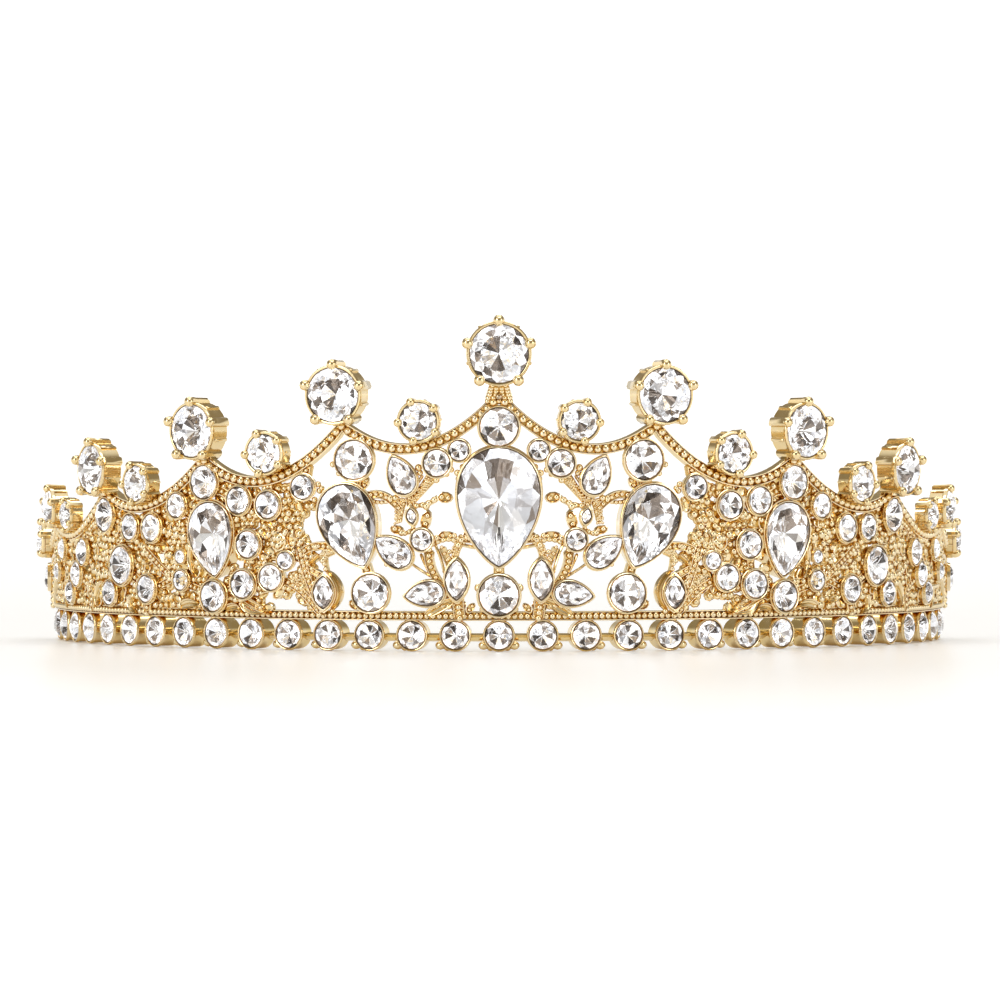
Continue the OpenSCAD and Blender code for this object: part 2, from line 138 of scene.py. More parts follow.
def goldFinish(name, pale, shadedAmber, recessShade, rough):
    finish, graph, skin = newFinish(name, {"Metallic": 1.0})
    place = graph.add("ShaderNodeTexCoord").outputs["Object"]
    apart = graph.add("ShaderNodeSeparateXYZ", {0: place})
    flat = graph.add("ShaderNodeCombineXYZ", {
        0: apart.outputs[0],
        1: graph.number(apart.outputs[1]) - circleY * mm})
    out = graph.read("ShaderNodeVectorMath", "Value", {0: flat.outputs[0]}, operation="LENGTH")
    # Pale where the metal stands out and amber behind: painted shade by depth, mixed with random clouds of
    # tone
    shallow = out.between(goldLook["behindR"] * mm, goldLook["outR"] * mm)
    clouds = graph.read("ShaderNodeTexNoise", "Fac", {
        "Vector": place, "Scale": goldLook["cloudScale"], "Detail": 3.0})
    grain = graph.read("ShaderNodeTexNoise", "Fac", {
        "Vector": place, "Scale": goldLook["grainScale"], "Detail": 2.0})
    tone = shallow * goldLook["depthShadeShare"] + clouds.between(0.35, 0.65) * (1 - goldLook["depthShadeShare"])
    depthShaded = mixed(graph, tone, shadedAmber, pale)
    # Ambient occlusion darkens the base colour toward the recess colour in crevices: painted shade
    creviceShade = graph.read("ShaderNodeAmbientOcclusion", "AO", {
        "Distance": goldLook["creviceShade"] * mm}, samples=6)
    rough = clouds.between(0.35, 0.7) * goldLook["roughSpread"] + rough
    bump = graph.add("ShaderNodeBump", {
        "Strength": goldLook["grain"], "Distance": goldLook["grainHigh"] * mm, "Height": grain})
    graph.link(mixed(graph, creviceShade.between(0.2, 0.8), recessShade, depthShaded), skin, "Base Color")
    graph.link(rough.socket, skin, "Roughness")
    graph.link(bump.outputs[0], skin, "Normal")
    return finish


def crystalFinish(name):
    finish, graph, skin = newFinish(name, {"Roughness": 0.0, "IOR": 1.5, "Transmission Weight": 1.0})
    tone = graph.read("ShaderNodeAttribute", "Fac", attribute_name="tone")
    colour = mixed(graph, tone.between(0.0, 1.0), (0.96, 0.965, 0.975), (1.0, 1.0, 1.0))
    graph.link(colour, skin, "Base Color")
    return finish


# The stones' silvered back: colours and the tones between which each takes over, and each stone's own shift;
# the dark, grey and white facet colours are painted reflections, and the back glows as painted light
foilLook = {"darkest": (0.045, 0.035, 0.03), "shift": 0.1, "glow": 0.48, "steps": [
    (0.02, 0.16, (0.27, 0.225, 0.19)), (0.2, 0.36, (0.70, 0.72, 0.76)), (0.36, 0.85, (0.99, 0.99, 0.995))]}


def foilFinish(name):
    finish, graph, skin = newFinish(name, {
        "Metallic": 1.0, "Roughness": 0.06, "Emission Strength": foilLook["glow"]})
    tone = graph.read("ShaderNodeAttribute", "Fac", attribute_name="tone")
    shade = graph.read("ShaderNodeAttribute", "Fac", attribute_name="stoneShade")
    tone = tone + shade * foilLook["shift"] - foilLook["shift"] / 2
    # Dark, grey and white facet colours: painted reflections
    colour = foilLook["darkest"]
    for low, high, paler in foilLook["steps"]:
        colour = mixed(graph, tone.between(low, high), colour, paler)
    graph.link(colour, skin, "Base Color")
    # The foil glows in its own colour though it is no lamp: painted light
    graph.link(colour, skin, "Emission Color")
    return finish


# A dark ring between each stone and its cup: painted shadow in the gap, with spots of tone
def gapShadeFinish(name):
    finish, graph, skin = newFinish(name, {"Metallic": 0.7, "Roughness": 0.45})
    place = graph.add("ShaderNodeTexCoord").outputs["Object"]
    spots = graph.read("ShaderNodeTexNoise", "Fac", {"Vector": place, "Scale": 900.0})
    colour = mixed(graph, spots.between(0.3, 0.7), (0.05, 0.035, 0.02), (0.2, 0.14, 0.08))
    graph.link(colour, skin, "Base Color")
    return finish


# Each gold: the pale colour, the amber painted shade behind, the painted shade in the crevices, and roughness
gold = goldFinish("polished gold", (0.87, 0.735, 0.51), (0.82, 0.635, 0.28), (0.71, 0.465, 0.12), 0.1)
beadGold = goldFinish("bead gold", (0.89, 0.76, 0.54), (0.84, 0.675, 0.33), (0.73, 0.49, 0.13), 0.07)
settingGold = goldFinish("setting gold", (0.86, 0.70, 0.42), (0.80, 0.60, 0.25), (0.60, 0.39, 0.1), 0.09)
crystal = crystalFinish("clear crystal")
foil = foilFinish("silver foil")
gapShade = gapShadeFinish("dark seam")
print("finishes made")


# Places on the head circle: x to the right, y up and z outward from the wearer
def spot(angle, high, r):
    a = math.radians(angle)
    return Vector((r * math.sin(a), circleY - r * math.cos(a), high)) * mm


def stand(angle, high, r, turn=0):
    return Matrix.Translation(spot(angle, high, r)) @ Matrix.Rotation(math.radians(angle), 4, "Z") \
        @ Matrix.Rotation(math.radians(90), 4, "X") @ Matrix.Rotation(math.radians(turn), 4, "Z")


def bothSides(rows, turnAt=None):
    found = []
    for row in rows:
        found.append(list(row))
        if row[0]:
            other = [-row[0]] + list(row[1:])
            if turnAt is not None:
                other[turnAt] = -row[turnAt]
            found.append(other)
    return found


def added(name, data):
    thing = bpy.data.objects.new(name, data)
    bpy.context.scene.collection.objects.link(thing)
    return thing


# Meshes built a shape at a time
class Shape:
    def __init__(self):
        self.points = []
        self.faces = []
        self.slots = []
        self.tones = []

    def add(self, points, faces, slot=0, tones=None):
        start = len(self.points)
        self.points += [Vector(p) for p in points]
        self.faces += [[start + i for i in face] for face in faces]
        self.slots += [slot] * len(faces) if isinstance(slot, int) else slot
        self.tones += tones or [0.5] * len(faces)

    def loft(self, rings, openEnds=False):
        n = len(rings[0])
        faces = [[j * n + i, j * n + (i + 1) % n, (j + 1) * n + (i + 1) % n, (j + 1) * n + i]
                 for j in range(len(rings) - 1) for i in range(n)]
        if not openEnds:
            faces.append(list(range(n - 1, -1, -1)))
            faces.append([(len(rings) - 1) * n + i for i in range(n)])
        self.add([p for ring in rings for p in ring], faces)

    # Gives a ring of faces slot 1, which in cups and settings is the painted gap shadow
    def darken(self, row, n, start=0):
        self.slots[start + row * n:start + (row + 1) * n] = [1] * n

    def mesh(self, name, finishes, smooth=40):
        mesh = bpy.data.meshes.new(name)
        mesh.from_pydata(self.points, [], self.faces)
        for finish in finishes:
            mesh.materials.append(finish)
        mesh.polygons.foreach_set("material_index", self.slots)
        mesh.attributes.new("tone", "FLOAT", "FACE").data.foreach_set("value", self.tones)
        mesh.attributes.new("back", "BOOLEAN", "FACE").data.foreach_set("value", [i == 1 for i in self.slots])
        solid = bmesh.new()
        solid.from_mesh(mesh)
        bmesh.ops.recalc_face_normals(solid, faces=solid.faces)
        solid.to_mesh(mesh)
        solid.free()
        if smooth:
            mesh.polygons.foreach_set("use_smooth", [True] * len(mesh.polygons))
            mesh.set_sharp_from_angle(angle=math.radians(smooth))
        return mesh

    def made(self, name, finishes, smooth=40):
        return added(name, self.mesh(name, finishes, smooth))


def fullTurn(n):
    return [2 * math.pi * i / n for i in range(n)]


def lathe(profile, sides):
    shape = Shape()
    shape.loft([[(r * math.cos(t), r * math.sin(t), z) for t in fullTurn(sides)] for r, z in profile])
    return shape


def straightPath(first, last, step):
    n = max(2, math.ceil(math.hypot((last[0] - first[0]) * degree, last[1] - first[1]) / step))
    shares = [s / n * (0.5 + s / n * (1.5 - s / n)) for s in range(n)] + [1]
    return [[a + (b - a) * share for a, b in zip(first, last)] for share in shares]


def threePoint(row, n):
    found = []
    for s in range(n + 1):
        t = s / n
        a, b, c = (1 - t) * (1 - 2 * t), 4 * t * (1 - t), t * (2 * t - 1)
        found.append([a * row[0] + b * row[2] + c * row[4], a * row[1] + b * row[3] + c * row[5],
                      row[6] + (row[7] - row[6]) * t])
    return found


# Cross sections: place across the bar and height out of it, both as shares
sections = {
    "rail": [(-1, 0), (-1, 0.8), (-0.9, 0.97), (-0.74, 0.97), (-0.64, 0.74), (0, 0.7),
             (0.64, 0.74), (0.74, 0.97), (0.9, 0.97), (1, 0.8), (1, 0)],
    "ridge": [(-1, 0), (-0.94, 0.55), (-0.6, 0.88), (0, 1), (0.6, 0.88), (0.94, 0.55), (1, 0)],
    "leaf": [(-1, 0.3), (-1, 0.8), (-0.88, 0.97), (-0.7, 0.94), (-0.52, 0.8), (-0.14, 0.76), (0, 0.92),
             (0.14, 0.76), (0.52, 0.8), (0.7, 0.94), (0.88, 0.97), (1, 0.8), (1, 0.3)],
    "wire": [(-0.75, 0.12), (-1, 0.5), (-0.75, 0.88), (0, 1), (0.75, 0.88), (1, 0.5), (0.75, 0.12), (0, 0)]}
barEnd = {"wide": 0.6, "high": 0.8}


def sweep(shape, path, back, front, section, roundEnds=True):
    last = len(path) - 1
    rings = []
    for i, row in enumerate(path):
        before, after = path[max(i - 1, 0)], path[min(i + 1, last)]
        along = Vector(((after[0] - before[0]) * degree, after[1] - before[1])).normalized()
        half = row[2] / 2
        rise = 1.0
        if roundEnds and i in (0, last):
            half *= barEnd["wide"]
            rise = barEnd["high"]
        rings.append([spot(row[0] - along[1] * c * half / degree, row[1] + along[0] * c * half,
                           back + (front - back) * out * rise) for c, out in sections[section]])
    shape.loft(rings)


# Geometry nodes that set one piece on every point, or along every line, of a carrier mesh
def newGroup(name, inputs):
    tree = bpy.data.node_groups.new(name, "GeometryNodeTree")
    for label, kind in [("Geometry", "NodeSocketGeometry")] + inputs:
        tree.interface.new_socket(label, in_out="INPUT", socket_type=kind)
    tree.interface.new_socket("Geometry", in_out="OUTPUT", socket_type="NodeSocketGeometry")
    graph = Graph(tree)
    return tree, graph, graph.add("NodeGroupInput"), graph.add("NodeGroupOutput")


def finishGroup(graph, given, result, points, turned):
    piece = graph.add("GeometryNodeObjectInfo", {"Object": given.outputs["Piece"]},
                      transform_space="ORIGINAL")
    size = graph.add("GeometryNodeInputNamedAttribute", {"Name": "size"}, data_type="FLOAT_VECTOR")
    inputs = {"Points": points, "Instance": piece.outputs["Geometry"], "Scale": size.outputs[0]}
    if turned:
        turn = graph.add("GeometryNodeInputNamedAttribute", {"Name": "turn"}, data_type="FLOAT_VECTOR")
        inputs["Rotation"] = graph.add("FunctionNodeEulerToRotation", {0: turn.outputs[0]}).outputs[0]
    spread = graph.add("GeometryNodeInstanceOnPoints", inputs)
    shade = graph.add("FunctionNodeRandomValue", {"Seed": given.outputs["Seed"]}, data_type="FLOAT")
    kept = graph.add("GeometryNodeStoreNamedAttribute", {
        "Geometry": spread.outputs[0], "Name": "stoneShade"}, data_type="FLOAT", domain="INSTANCE")
    graph.tree.links.new([o for o in shade.outputs if o.type == "VALUE" and o.enabled][0],
                         [i for i in kept.inputs if i.name == "Value" and i.enabled][0])
    solid = graph.add("GeometryNodeRealizeInstances", {"Geometry": kept.outputs[0]})
    made = graph.add("GeometryNodeSetMaterial", {
        "Geometry": solid.outputs[0], "Material": given.outputs["Finish"]})
    back = graph.add("GeometryNodeInputNamedAttribute", {"Name": "back"}, data_type="BOOLEAN")
    both = graph.add("GeometryNodeSetMaterial", {
        "Geometry": made.outputs[0], "Selection": back.outputs[0], "Material": given.outputs["Back Finish"]})
    graph.tree.links.new(both.outputs[0], result.inputs[0])


def pointsGroup():
    tree, graph, given, result = newGroup("set on points", [
        ("Piece", "NodeSocketObject"), ("Finish", "NodeSocketMaterial"),
        ("Back Finish", "NodeSocketMaterial"), ("Seed", "NodeSocketInt")])
    finishGroup(graph, given, result, given.outputs["Geometry"], True)
    return tree


def linesGroup():
    tree, graph, given, result = newGroup("set along lines", [
        ("Piece", "NodeSocketObject"), ("Finish", "NodeSocketMaterial"),
        ("Back Finish", "NodeSocketMaterial"), ("Seed", "NodeSocketInt"), ("Pitch", "NodeSocketFloat")])
    line = graph.add("GeometryNodeMeshToCurve", {"Mesh": given.outputs["Geometry"]})
    even = graph.add("GeometryNodeResampleCurve", {
        "Curve": line.outputs[0], "Length": given.outputs["Pitch"]}, mode="LENGTH")
    finishGroup(graph, given, result, even.outputs[0], False)
    return tree


def applyGroup(carrier, tree, values):
    modifier = carrier.modifiers.new("nodes", "NODES")
    modifier.node_group = tree
    for item in tree.interface.items_tree:
        if item.item_type == "SOCKET" and item.in_out == "INPUT" and item.name in values:
            modifier[item.identifier] = values[item.name]
    bpy.context.view_layer.update()
    ready = carrier.evaluated_get(bpy.context.evaluated_depsgraph_get())
    plain = bpy.data.meshes.new_from_object(ready)
    plain.name = carrier.name
    carrier.modifiers.clear()
    carrier.data = plain
    return carrier


def carrierMesh(name, points, edges, attributes):
    mesh = bpy.data.meshes.new(name)
    mesh.from_pydata(points, edges, [])
    for label, values in attributes.items():
        made = mesh.attributes.new(label, "FLOAT_VECTOR", "POINT")
        made.data.foreach_set("vector", [x for v in values for x in v])
    return added(name, mesh)


setOnPoints = pointsGroup()
setAlongLines = linesGroup()


def scatter(name, piece, finish, places, backFinish=None, seed=1):
    turns = [place.to_euler() for place, size in places]
    carrier = carrierMesh(name, [place.translation for place, size in places], [], {
        "turn": turns, "size": [[x * mm for x in size] for place, size in places]})
    return applyGroup(carrier, setOnPoints, {
        "Piece": piece, "Finish": finish, "Back Finish": backFinish or finish, "Seed": seed})


def beadLines(name, piece, finish, lines, pitch):
    points, edges, sizes = [], [], []
    for line in lines:
        start = len(points)
        for p, size in line:
            points.append(p)
            sizes.append((size * mm,) * 3)
        edges += [(start + i, start + i + 1) for i in range(len(line) - 1)]
    carrier = carrierMesh(name, points, edges, {"size": sizes})
    return applyGroup(carrier, setAlongLines, {
        "Piece": piece, "Finish": finish, "Back Finish": finish, "Seed": 1, "Pitch": pitch * mm})


def metalPiece(piece):
    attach(piece, "root")
    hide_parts("tiara_frame")


def joined(name, parts):
    shape = bmesh.new()
    for part in parts:
        shape.from_mesh(part.data)
    mesh = bpy.data.meshes.new(name)
    finishes = parts[0].data.materials
    shape.to_mesh(mesh)
    shape.free()
    for finish in finishes:
        mesh.materials.append(finish)
    for part in parts:
        bpy.data.objects.remove(part)
    return added(name, mesh)


def ballMaster():
    mesh = bpy.data.meshes.new("ball")
    solid = bmesh.new()
    bmesh.ops.create_icosphere(solid, subdivisions=2, radius=0.5)
    solid.to_mesh(mesh)
    solid.free()
    mesh.polygons.foreach_set("use_smooth", [True] * len(mesh.polygons))
    return added("ball", mesh)


# Outlines of unit width and length, with a pear's tip up
tipForm = {"pearWide": 0.588, "pear": 0.55, "navette": 0.6}


def roundOutline(n):
    return [(math.sin(t) / 2, math.cos(t) / 2) for t in fullTurn(n)]


def pearOutline(n):
    return [(tipForm["pearWide"] * math.sin(t) * max(math.sin(t / 2), 0) ** tipForm["pear"], math.cos(t) / 2)
            for t in fullTurn(n)]


def navetteOutline(n):
    return [(math.sin(t) * abs(math.sin(t)) ** tipForm["navette"] / 2, math.cos(t) / 2) for t in fullTurn(n)]


# An oval petal with a raised edge, whose two beads are set later, and the small plate under a granule
petalRings = [(0.85, -0.45), (1.0, 0.0), (0.97, 0.24), (0.8, 0.3), (0.66, 0.0), (0.3, -0.06)]
plateRings = [(0.42, -0.5), (0.5, -0.4), (0.5, 0.3), (0.36, 0.5)]


def petalMaster():
    shape = Shape()
    shape.loft([[(x * share, y * share, z) for x, y in roundOutline(10)] for share, z in petalRings])
    return shape.made("petal", [beadGold])


ball = ballMaster()
petal = petalMaster()
plate = lathe(plateRings, 8).made("plate", [gold])
masters = [ball, petal, plate]

# Stones, columns: angle, height, size, and for peaks the set back, for long stones width, length and turn
peaks = [[20.7, 39.75, 8.3, 0], [41.0, 33.85, 8.0, 0], [60.9, 27.45, 7.4, 0], [77.0, 20.95, 5.4, 0.6],
         [88.0, 15.65, 4.9, 1.2]]
smallPeaks = [[9.9, 35.75, 5.7, 0], [30.1, 30.55, 5.8, 0], [51.3, 25.45, 5.4, 0.3], [69.9, 20.0, 4.3, 0.8]]
frontPear = [0, 22.45, 12.7, 18.2, 180]
sidePears = [[19.2, 19.4, 9.0, 13.0, 159], [39.4, 17.05, 8.4, 11.3, 171]]
crestStone, baseStone = [0, 34.85, 5.8], [0, 8.75, 6.0]
rounds = [[18.6, 29.65, 5.9], [16.4, 9.05, 5.6], [40.6, 25.85, 5.0], [56.7, 12.55, 5.7], [60.7, 20.3, 5.0]]
smallRounds = [
    [5.05, 31.2, 3.0], [7.85, 29.25, 4.0], [9.8, 17.35, 3.1], [25.65, 25.35, 3.6], [30.66, 22.5, 4.0],
    [35.1, 23.15, 4.0], [45.4, 22.15, 3.6], [33.6, 16.35, 4.0], [30.2, 11.3, 3.8], [34.4, 10.15, 4.1],
    [39.1, 8.2, 4.5], [51.2, 9.05, 4.0], [50.2, 18.55, 4.0], [54.7, 18.55, 3.8], [59.5, 8.2, 3.6],
    [67.3, 14.35, 3.8], [69.4, 10.85, 3.6], [71.8, 7.95, 3.2], [75.4, 14.6, 3.0], [90.0, 9.65, 3.8]]
smallPears = [[12.5, 27.35, 4.0, 6.0, -26], [9.45, 8.95, 3.6, 5.8, -97], [13.5, 15.6, 4.0, 6.3, -55]]
navettes = [[5.35, 11.15, 3.4, 6.0, 0], [22.75, 9.05, 3.2, 4.8, 0]]
tinyRounds = [[28.1, 13.9, 2.6], [44.6, 10.55, 2.9], [44.7, 14.2, 1.9], [78.2, 10.95, 2.6]]
tinyNavettes = [[11.1, 21.0, 1.35, 2.1, -12]]
band = {"side": 16, "step": 5.66, "stone": 4.15, "deep": 3.4, "z": 2.507, "cupR": 2.5, "turn": 47}
bandRow = range(-band["side"], band["side"] + 1)


def bandPlace(i, turn=0):
    return stand(i * band["step"], band["z"], head["bandR"], turn)


# Tones of the facets: first and spread of the shaded ones, which are a painted shadow, spread of the dark
# ones, first and spread of the crown's, and how far every second kite and wedge differs; the dark and pale
# facet tones are painted reflections
facets = {"shaded": (0.07, 0.2), "dark": 0.24, "table": 0.8, "crown": (0.5, 0.5), "swing": (0.4, 1.2),
          "wedge": 0.7, "innerBelly": 1.03, "midRise": 0.62}


# A cut stone: table, crown facets in two rows, and a foiled back in three rows that meet in a point; the
# back's facet tones are painted reflections and painted shadow
def cutStone(name, outline, n, cut, seed, keel=0.0):
    dice = random.Random(seed)
    girdle = outline(n)
    m = n // 2

    def ring(share, z, first, shift=1):
        return [(x * share, y * share + keel * (1 - share) * shift, z) for x, y in girdle[first::2]]

    def tone(darkShare, shaded=False):
        if shaded:
            return facets["shaded"][0] + facets["shaded"][1] * dice.random()
        if dice.random() < darkShare:
            return facets["dark"] * dice.random()
        return cut["paleFrom"] + (1 - cut["paleFrom"]) * dice.random() ** cut["lean"]

    def swung(share, i):
        return share * (facets["swing"][0] + facets["swing"][1] * (i % 2))

    points = ring(cut["table"], cut["crown"], 0, 0) \
        + ring(cut["mid"], cut["crown"] * facets["midRise"], 1, 0) + [(x, y, 0) for x, y in girdle] \
        + ring(cut["low"], -cut["deep"] * (1 - cut["low"]) * cut["belly"], 0) \
        + ring(cut["inner"], -cut["deep"] * (1 - cut["inner"]) * facets["innerBelly"], 1) \
        + [(0, keel, -cut["deep"])]
    tableAt, midAt, edgeAt, lowAt, innerAt, pointAt = 0, m, 2 * m, 4 * m, 5 * m, 6 * m
    rimDark, turnedDark, innerDark, lowDark, wedgeDark = cut["dark"]
    kites = [tone(swung(rimDark, i)) for i in range(m)]
    crown = [[tableAt + i for i in range(m - 1, -1, -1)]]
    back, tones = [], []
    for i in range(m):
        j, h = (i + 1) % m, (i - 1) % m
        here, next1, next2 = edgeAt + 2 * i, edgeAt + 2 * i + 1, edgeAt + (2 * i + 2) % n
        crown += [[tableAt + i, tableAt + j, midAt + i], [tableAt + i, midAt + i, here],
                  [tableAt + j, next2, midAt + i], [midAt + i, next1, here], [midAt + i, next2, next1]]
        back += [[here, next1, lowAt + i], [next1, next2, lowAt + j], [lowAt + i, next1, lowAt + j],
                 [lowAt + i, lowAt + j, innerAt + i], [innerAt + h, lowAt + i, innerAt + i],
                 [innerAt + h, innerAt + i, pointAt]]
        # Facets at the rounded end of a pear get a painted shadow
        shaded, centred = abs(i + 0.5 - m / 2) < cut["shadow"], abs(i - m / 2) < cut["shadow"]
        tones += [kites[i], kites[j], tone(turnedDark), tone(swung(innerDark, i), shaded),
                  tone(lowDark, centred), tone(wedgeDark, centred) * (facets["wedge"] if i % 2 else 1)]
    glass = [facets["crown"][0] + facets["crown"][1] * dice.random() for face in crown[1:]]
    tones = [facets["table"]] + glass + tones
    shape = Shape()
    shape.add(points, crown + back, [0] * len(crown) + [1] * len(back), tones)
    stone = shape.made(name, [crystal, foil], smooth=0)
    masters.append(stone)
    return stone


# Cuts: shares of the width, then how many facets of each row of the back are dark, from the rim to the
# wedges, as painted reflections, and how many facets at a pear's rounded end take a painted shadow
roundCut = {"table": 0.54, "crown": 0.155, "mid": 0.8, "low": 0.7, "inner": 0.14, "deep": 0.355,
            "belly": 1.07, "dark": (0.5, 0.15, 0.55, 0.12, 0.25), "paleFrom": 0.3, "lean": 1, "shadow": 0}
peakCut = {"table": 0.48, "crown": 0.155, "mid": 0.76, "low": 0.8, "inner": 0.52, "deep": 0.355,
           "belly": 1.06, "dark": (0.5, 0.15, 0.5, 0.15, 0.14), "paleFrom": 0.3, "lean": 1, "shadow": 0}
frontCut = {"table": 0.46, "crown": 0.13, "mid": 0.75, "low": 0.8, "inner": 0.42, "deep": 0.22,
            "belly": 1.08, "dark": (0.26, 0.12, 0.1, 0.04, 0.0), "paleFrom": 0.3, "lean": 2, "shadow": 1}
pearCut = {"table": 0.52, "crown": 0.155, "mid": 0.78, "low": 0.78, "inner": 0.5, "deep": 0.275,
           "belly": 1.07, "dark": (0.45, 0.12, 0.45, 0.15, 0.1), "paleFrom": 0.34, "lean": 1, "shadow": 1}


# Each stone is turned its own way
def stoneTurn(row):
    return (row[0] * 37 + row[1] * 53) % 360


def crystalReady(piece, node):
    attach(piece, "root")
    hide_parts(node)


def crystalPiece(name, master, places, node, seed=1):
    crystalReady(scatter(name, master, crystal, places, foil, seed), node)


roundMaster = cutStone("round cut", roundOutline, 18, roundCut, 3)
peakMaster = cutStone("peak cut", roundOutline, 28, peakCut, 4)
pearMaster = cutStone("pear cut", pearOutline, 24, pearCut, 5, -0.08)
frontMaster = cutStone("front pear cut", pearOutline, 32, frontCut, 15, -0.06)
navetteMaster = cutStone("navette cut", navetteOutline, 12, pearCut, 6)


def roundPlace(row, r):
    return stand(row[0], row[1], r, stoneTurn(row)), (row[2], row[2], row[2])


def longPlace(row):
    return stand(row[0], row[1], head["wallR"], row[4]), (row[2], row[3], row[2])


def flipped(row, sign):
    return [row[0] * sign] + row[1:4] + [x * sign for x in row[4:]]


def roundPlaces(rows, sign, r):
    return [roundPlace(flipped(row, sign), r) for row in rows]


def longPlaces(rows, sign):
    return [longPlace(flipped(row, sign)) for row in rows]


bandStones = [(bandPlace(i, band["turn"] * i), (band["stone"],) * 3) for i in bandRow]
crystalPiece("band_crystals", roundMaster, bandStones, "band_stones")
for side, sign in (("left", -1), ("right", 1)):
    small = [(roundMaster, roundPlaces(smallRounds + tinyRounds, sign, head["wallR"])),
             (pearMaster, longPlaces(smallPears, sign)),
             (navetteMaster, longPlaces(navettes + tinyNavettes, sign))]
    crystalReady(joined("wall_crystals_" + side, [
        scatter(master.name + " set", master, crystal, places, foil, seed=2 + i)
        for i, (master, places) in enumerate(small)]), "wall_stones_" + side)
    for kind, rows in (("peak", peaks), ("small_peak", smallPeaks)):
        for i, row in enumerate(rows):
            crystalPiece(f"{kind}_crystal_{side}_{i + 1}", peakMaster,
                         roundPlaces([row[:3]], sign, head["peakR"] - row[3]),
                         f"{kind}_stone_{side}_{i + 1}", seed=10 + i)
    for i, row in enumerate(rounds):
        crystalPiece(f"round_crystal_{side}_{i + 1}", roundMaster, roundPlaces([row], sign, head["wallR"]),
                     f"round_stone_{side}_{i + 1}", seed=20 + i)
    for i, row in enumerate(sidePears):
        crystalPiece(f"side_pear_crystal_{side}_{i + 1}", pearMaster, longPlaces([row], sign),
                     f"side_pear_{side}_{i + 1}", seed=30 + i)
crystalPiece("front_pear_crystal", frontMaster, [longPlace(frontPear)], "front_pear_stone")
crystalPiece("front_peak_crystal", peakMaster, [roundPlace(frontPeak, head["peakR"])],
             "front_peak_stone", seed=5)
for name, row, seed in (("crest", crestStone, 6), ("base", baseStone, 7)):
    crystalPiece(name + "_crystal", roundMaster, [roundPlace(row, head["wallR"])],
                 name + "_round_stone", seed)
print("crystals set")


# Round cups, turned to a stone of that diameter: radius and height of each ring from the back to the seat
cupForm = {"wall": 0.5, "gap": 0.06, "base": 0.72, "baseEdge": 0.79, "room": 0.8, "least": 2, "sides": 28}


def roundCup(name, d, straight=0.0):
    outer, inner = d / 2 + cupForm["wall"], d / 2 + cupForm["gap"]
    deep = max(d * stoneCut["deep"] + cupForm["room"], cupForm["least"])
    rows = [(cupForm["base"] * outer, -deep), (cupForm["baseEdge"] * outer, -deep + 0.12),
            (0.93 * outer, -0.8), (0.95 * outer, -0.4), (outer, -0.42), (outer - 0.02, -0.3),
            (outer - 0.13, -0.28)]
    if straight:
        outer = band["cupR"]
        rows = [(outer - 0.25, -straight), (outer - 0.12, -straight + 0.12), (outer - 0.12, -0.45),
                (outer, -0.34), (outer, -0.14), (outer - 0.1, -0.02)]
    rows += [(inner + 0.28, 0.08), (inner + 0.21, 0.13), (inner + 0.13, 0.11), (inner + 0.09, -0.02),
             (inner - 0.02, -0.09), (0.06 * inner, -0.4 * d)]
    shape = lathe(rows, cupForm["sides"])
    # The ring beside the stone takes the painted gap shadow
    shape.darken(len(rows) - 3, cupForm["sides"])
    cup = shape.made(name, [gold, gapShade])
    masters.append(cup)
    return cup


# Cup sizes: the stone that each is made for, and from which to which stone it serves
cupSizes = {"small": (3.3, 0, 3.5), "middle": (3.9, 3.5, 4.8), "large": (5.5, 4.8, 9)}
wallRounds = bothSides(smallRounds + tinyRounds + rounds + [crestStone, baseStone])
metalPiece(joined("wall_cups", [
    scatter("wall cups " + size, roundCup("round cup " + size, d), gold, [
        (stand(row[0], row[1], head["wallR"]), (row[2] / d,) * 3)
        for row in wallRounds if low <= row[2] < high], gapShade)
    for size, (d, low, high) in cupSizes.items()]))
bandCup = roundCup("band cup", band["stone"], band["deep"])
metalPiece(scatter("band_cups", bandCup, gold, [(bandPlace(i), (1, 1, 1)) for i in bandRow], gapShade))


# Pear and pointed cups, whose rims keep one width round the stone
def outlineCup(shape, row, outline, n, depth, baseShare, tipRoom, floor=0.3):
    place = stand(row[0], row[1], head["wallR"], row[4])
    w, l = row[2], row[3]

    def ring(grow, z, share=1.0):
        return [place @ (Vector((x * (w + 2 * grow) * share, y * (l + tipRoom * grow) * share, z)) * mm)
                for x, y in outline(n)]

    start = len(shape.faces)
    shape.loft([ring(0.5, -depth, baseShare), ring(0.5, -depth + 0.12, baseShare + 0.05), ring(0.45, -0.6),
                ring(0.5, -0.42), ring(0.48, -0.3), ring(0.37, -0.28), ring(0.29, 0.09), ring(0.23, 0.13),
                ring(0.15, 0.11), ring(0.11, -0.02), ring(0.0, -0.09), ring(0, -0.12 * w - 0.1, 0.8),
                ring(0, -floor * w - 0.1, 0.12)])
    # The ring beside the stone takes the painted gap shadow
    shape.darken(9, n, start)


# Long cups, columns: stones, outline, points, room under the stone, share of the base, room at the tips
longKinds = [(smallPears, pearOutline, 26, 0.9, 0.75, 2.6), (sidePears, pearOutline, 36, 0.9, 0.85, 2.6),
             (navettes + tinyNavettes, navetteOutline, 24, 1.1, 0.75, 3.2)]
frontCup = {"points": 48, "deep": 0.224, "room": 0.9, "base": 0.88, "tipRoom": 2.6, "floor": 0.24}
longCups = Shape()
for rows, outline, n, room, baseShare, tipRoom in longKinds:
    for row in bothSides(rows, 4):
        outlineCup(longCups, row, outline, n, row[2] * stoneCut["pearDeep"] + room, baseShare, tipRoom)
outlineCup(longCups, frontPear, pearOutline, frontCup["points"],
           frontPear[2] * frontCup["deep"] + frontCup["room"], frontCup["base"],
           frontCup["tipRoom"], frontCup["floor"])
metalPiece(longCups.made("pear_cups", [gold, gapShade]))
print("cups set")


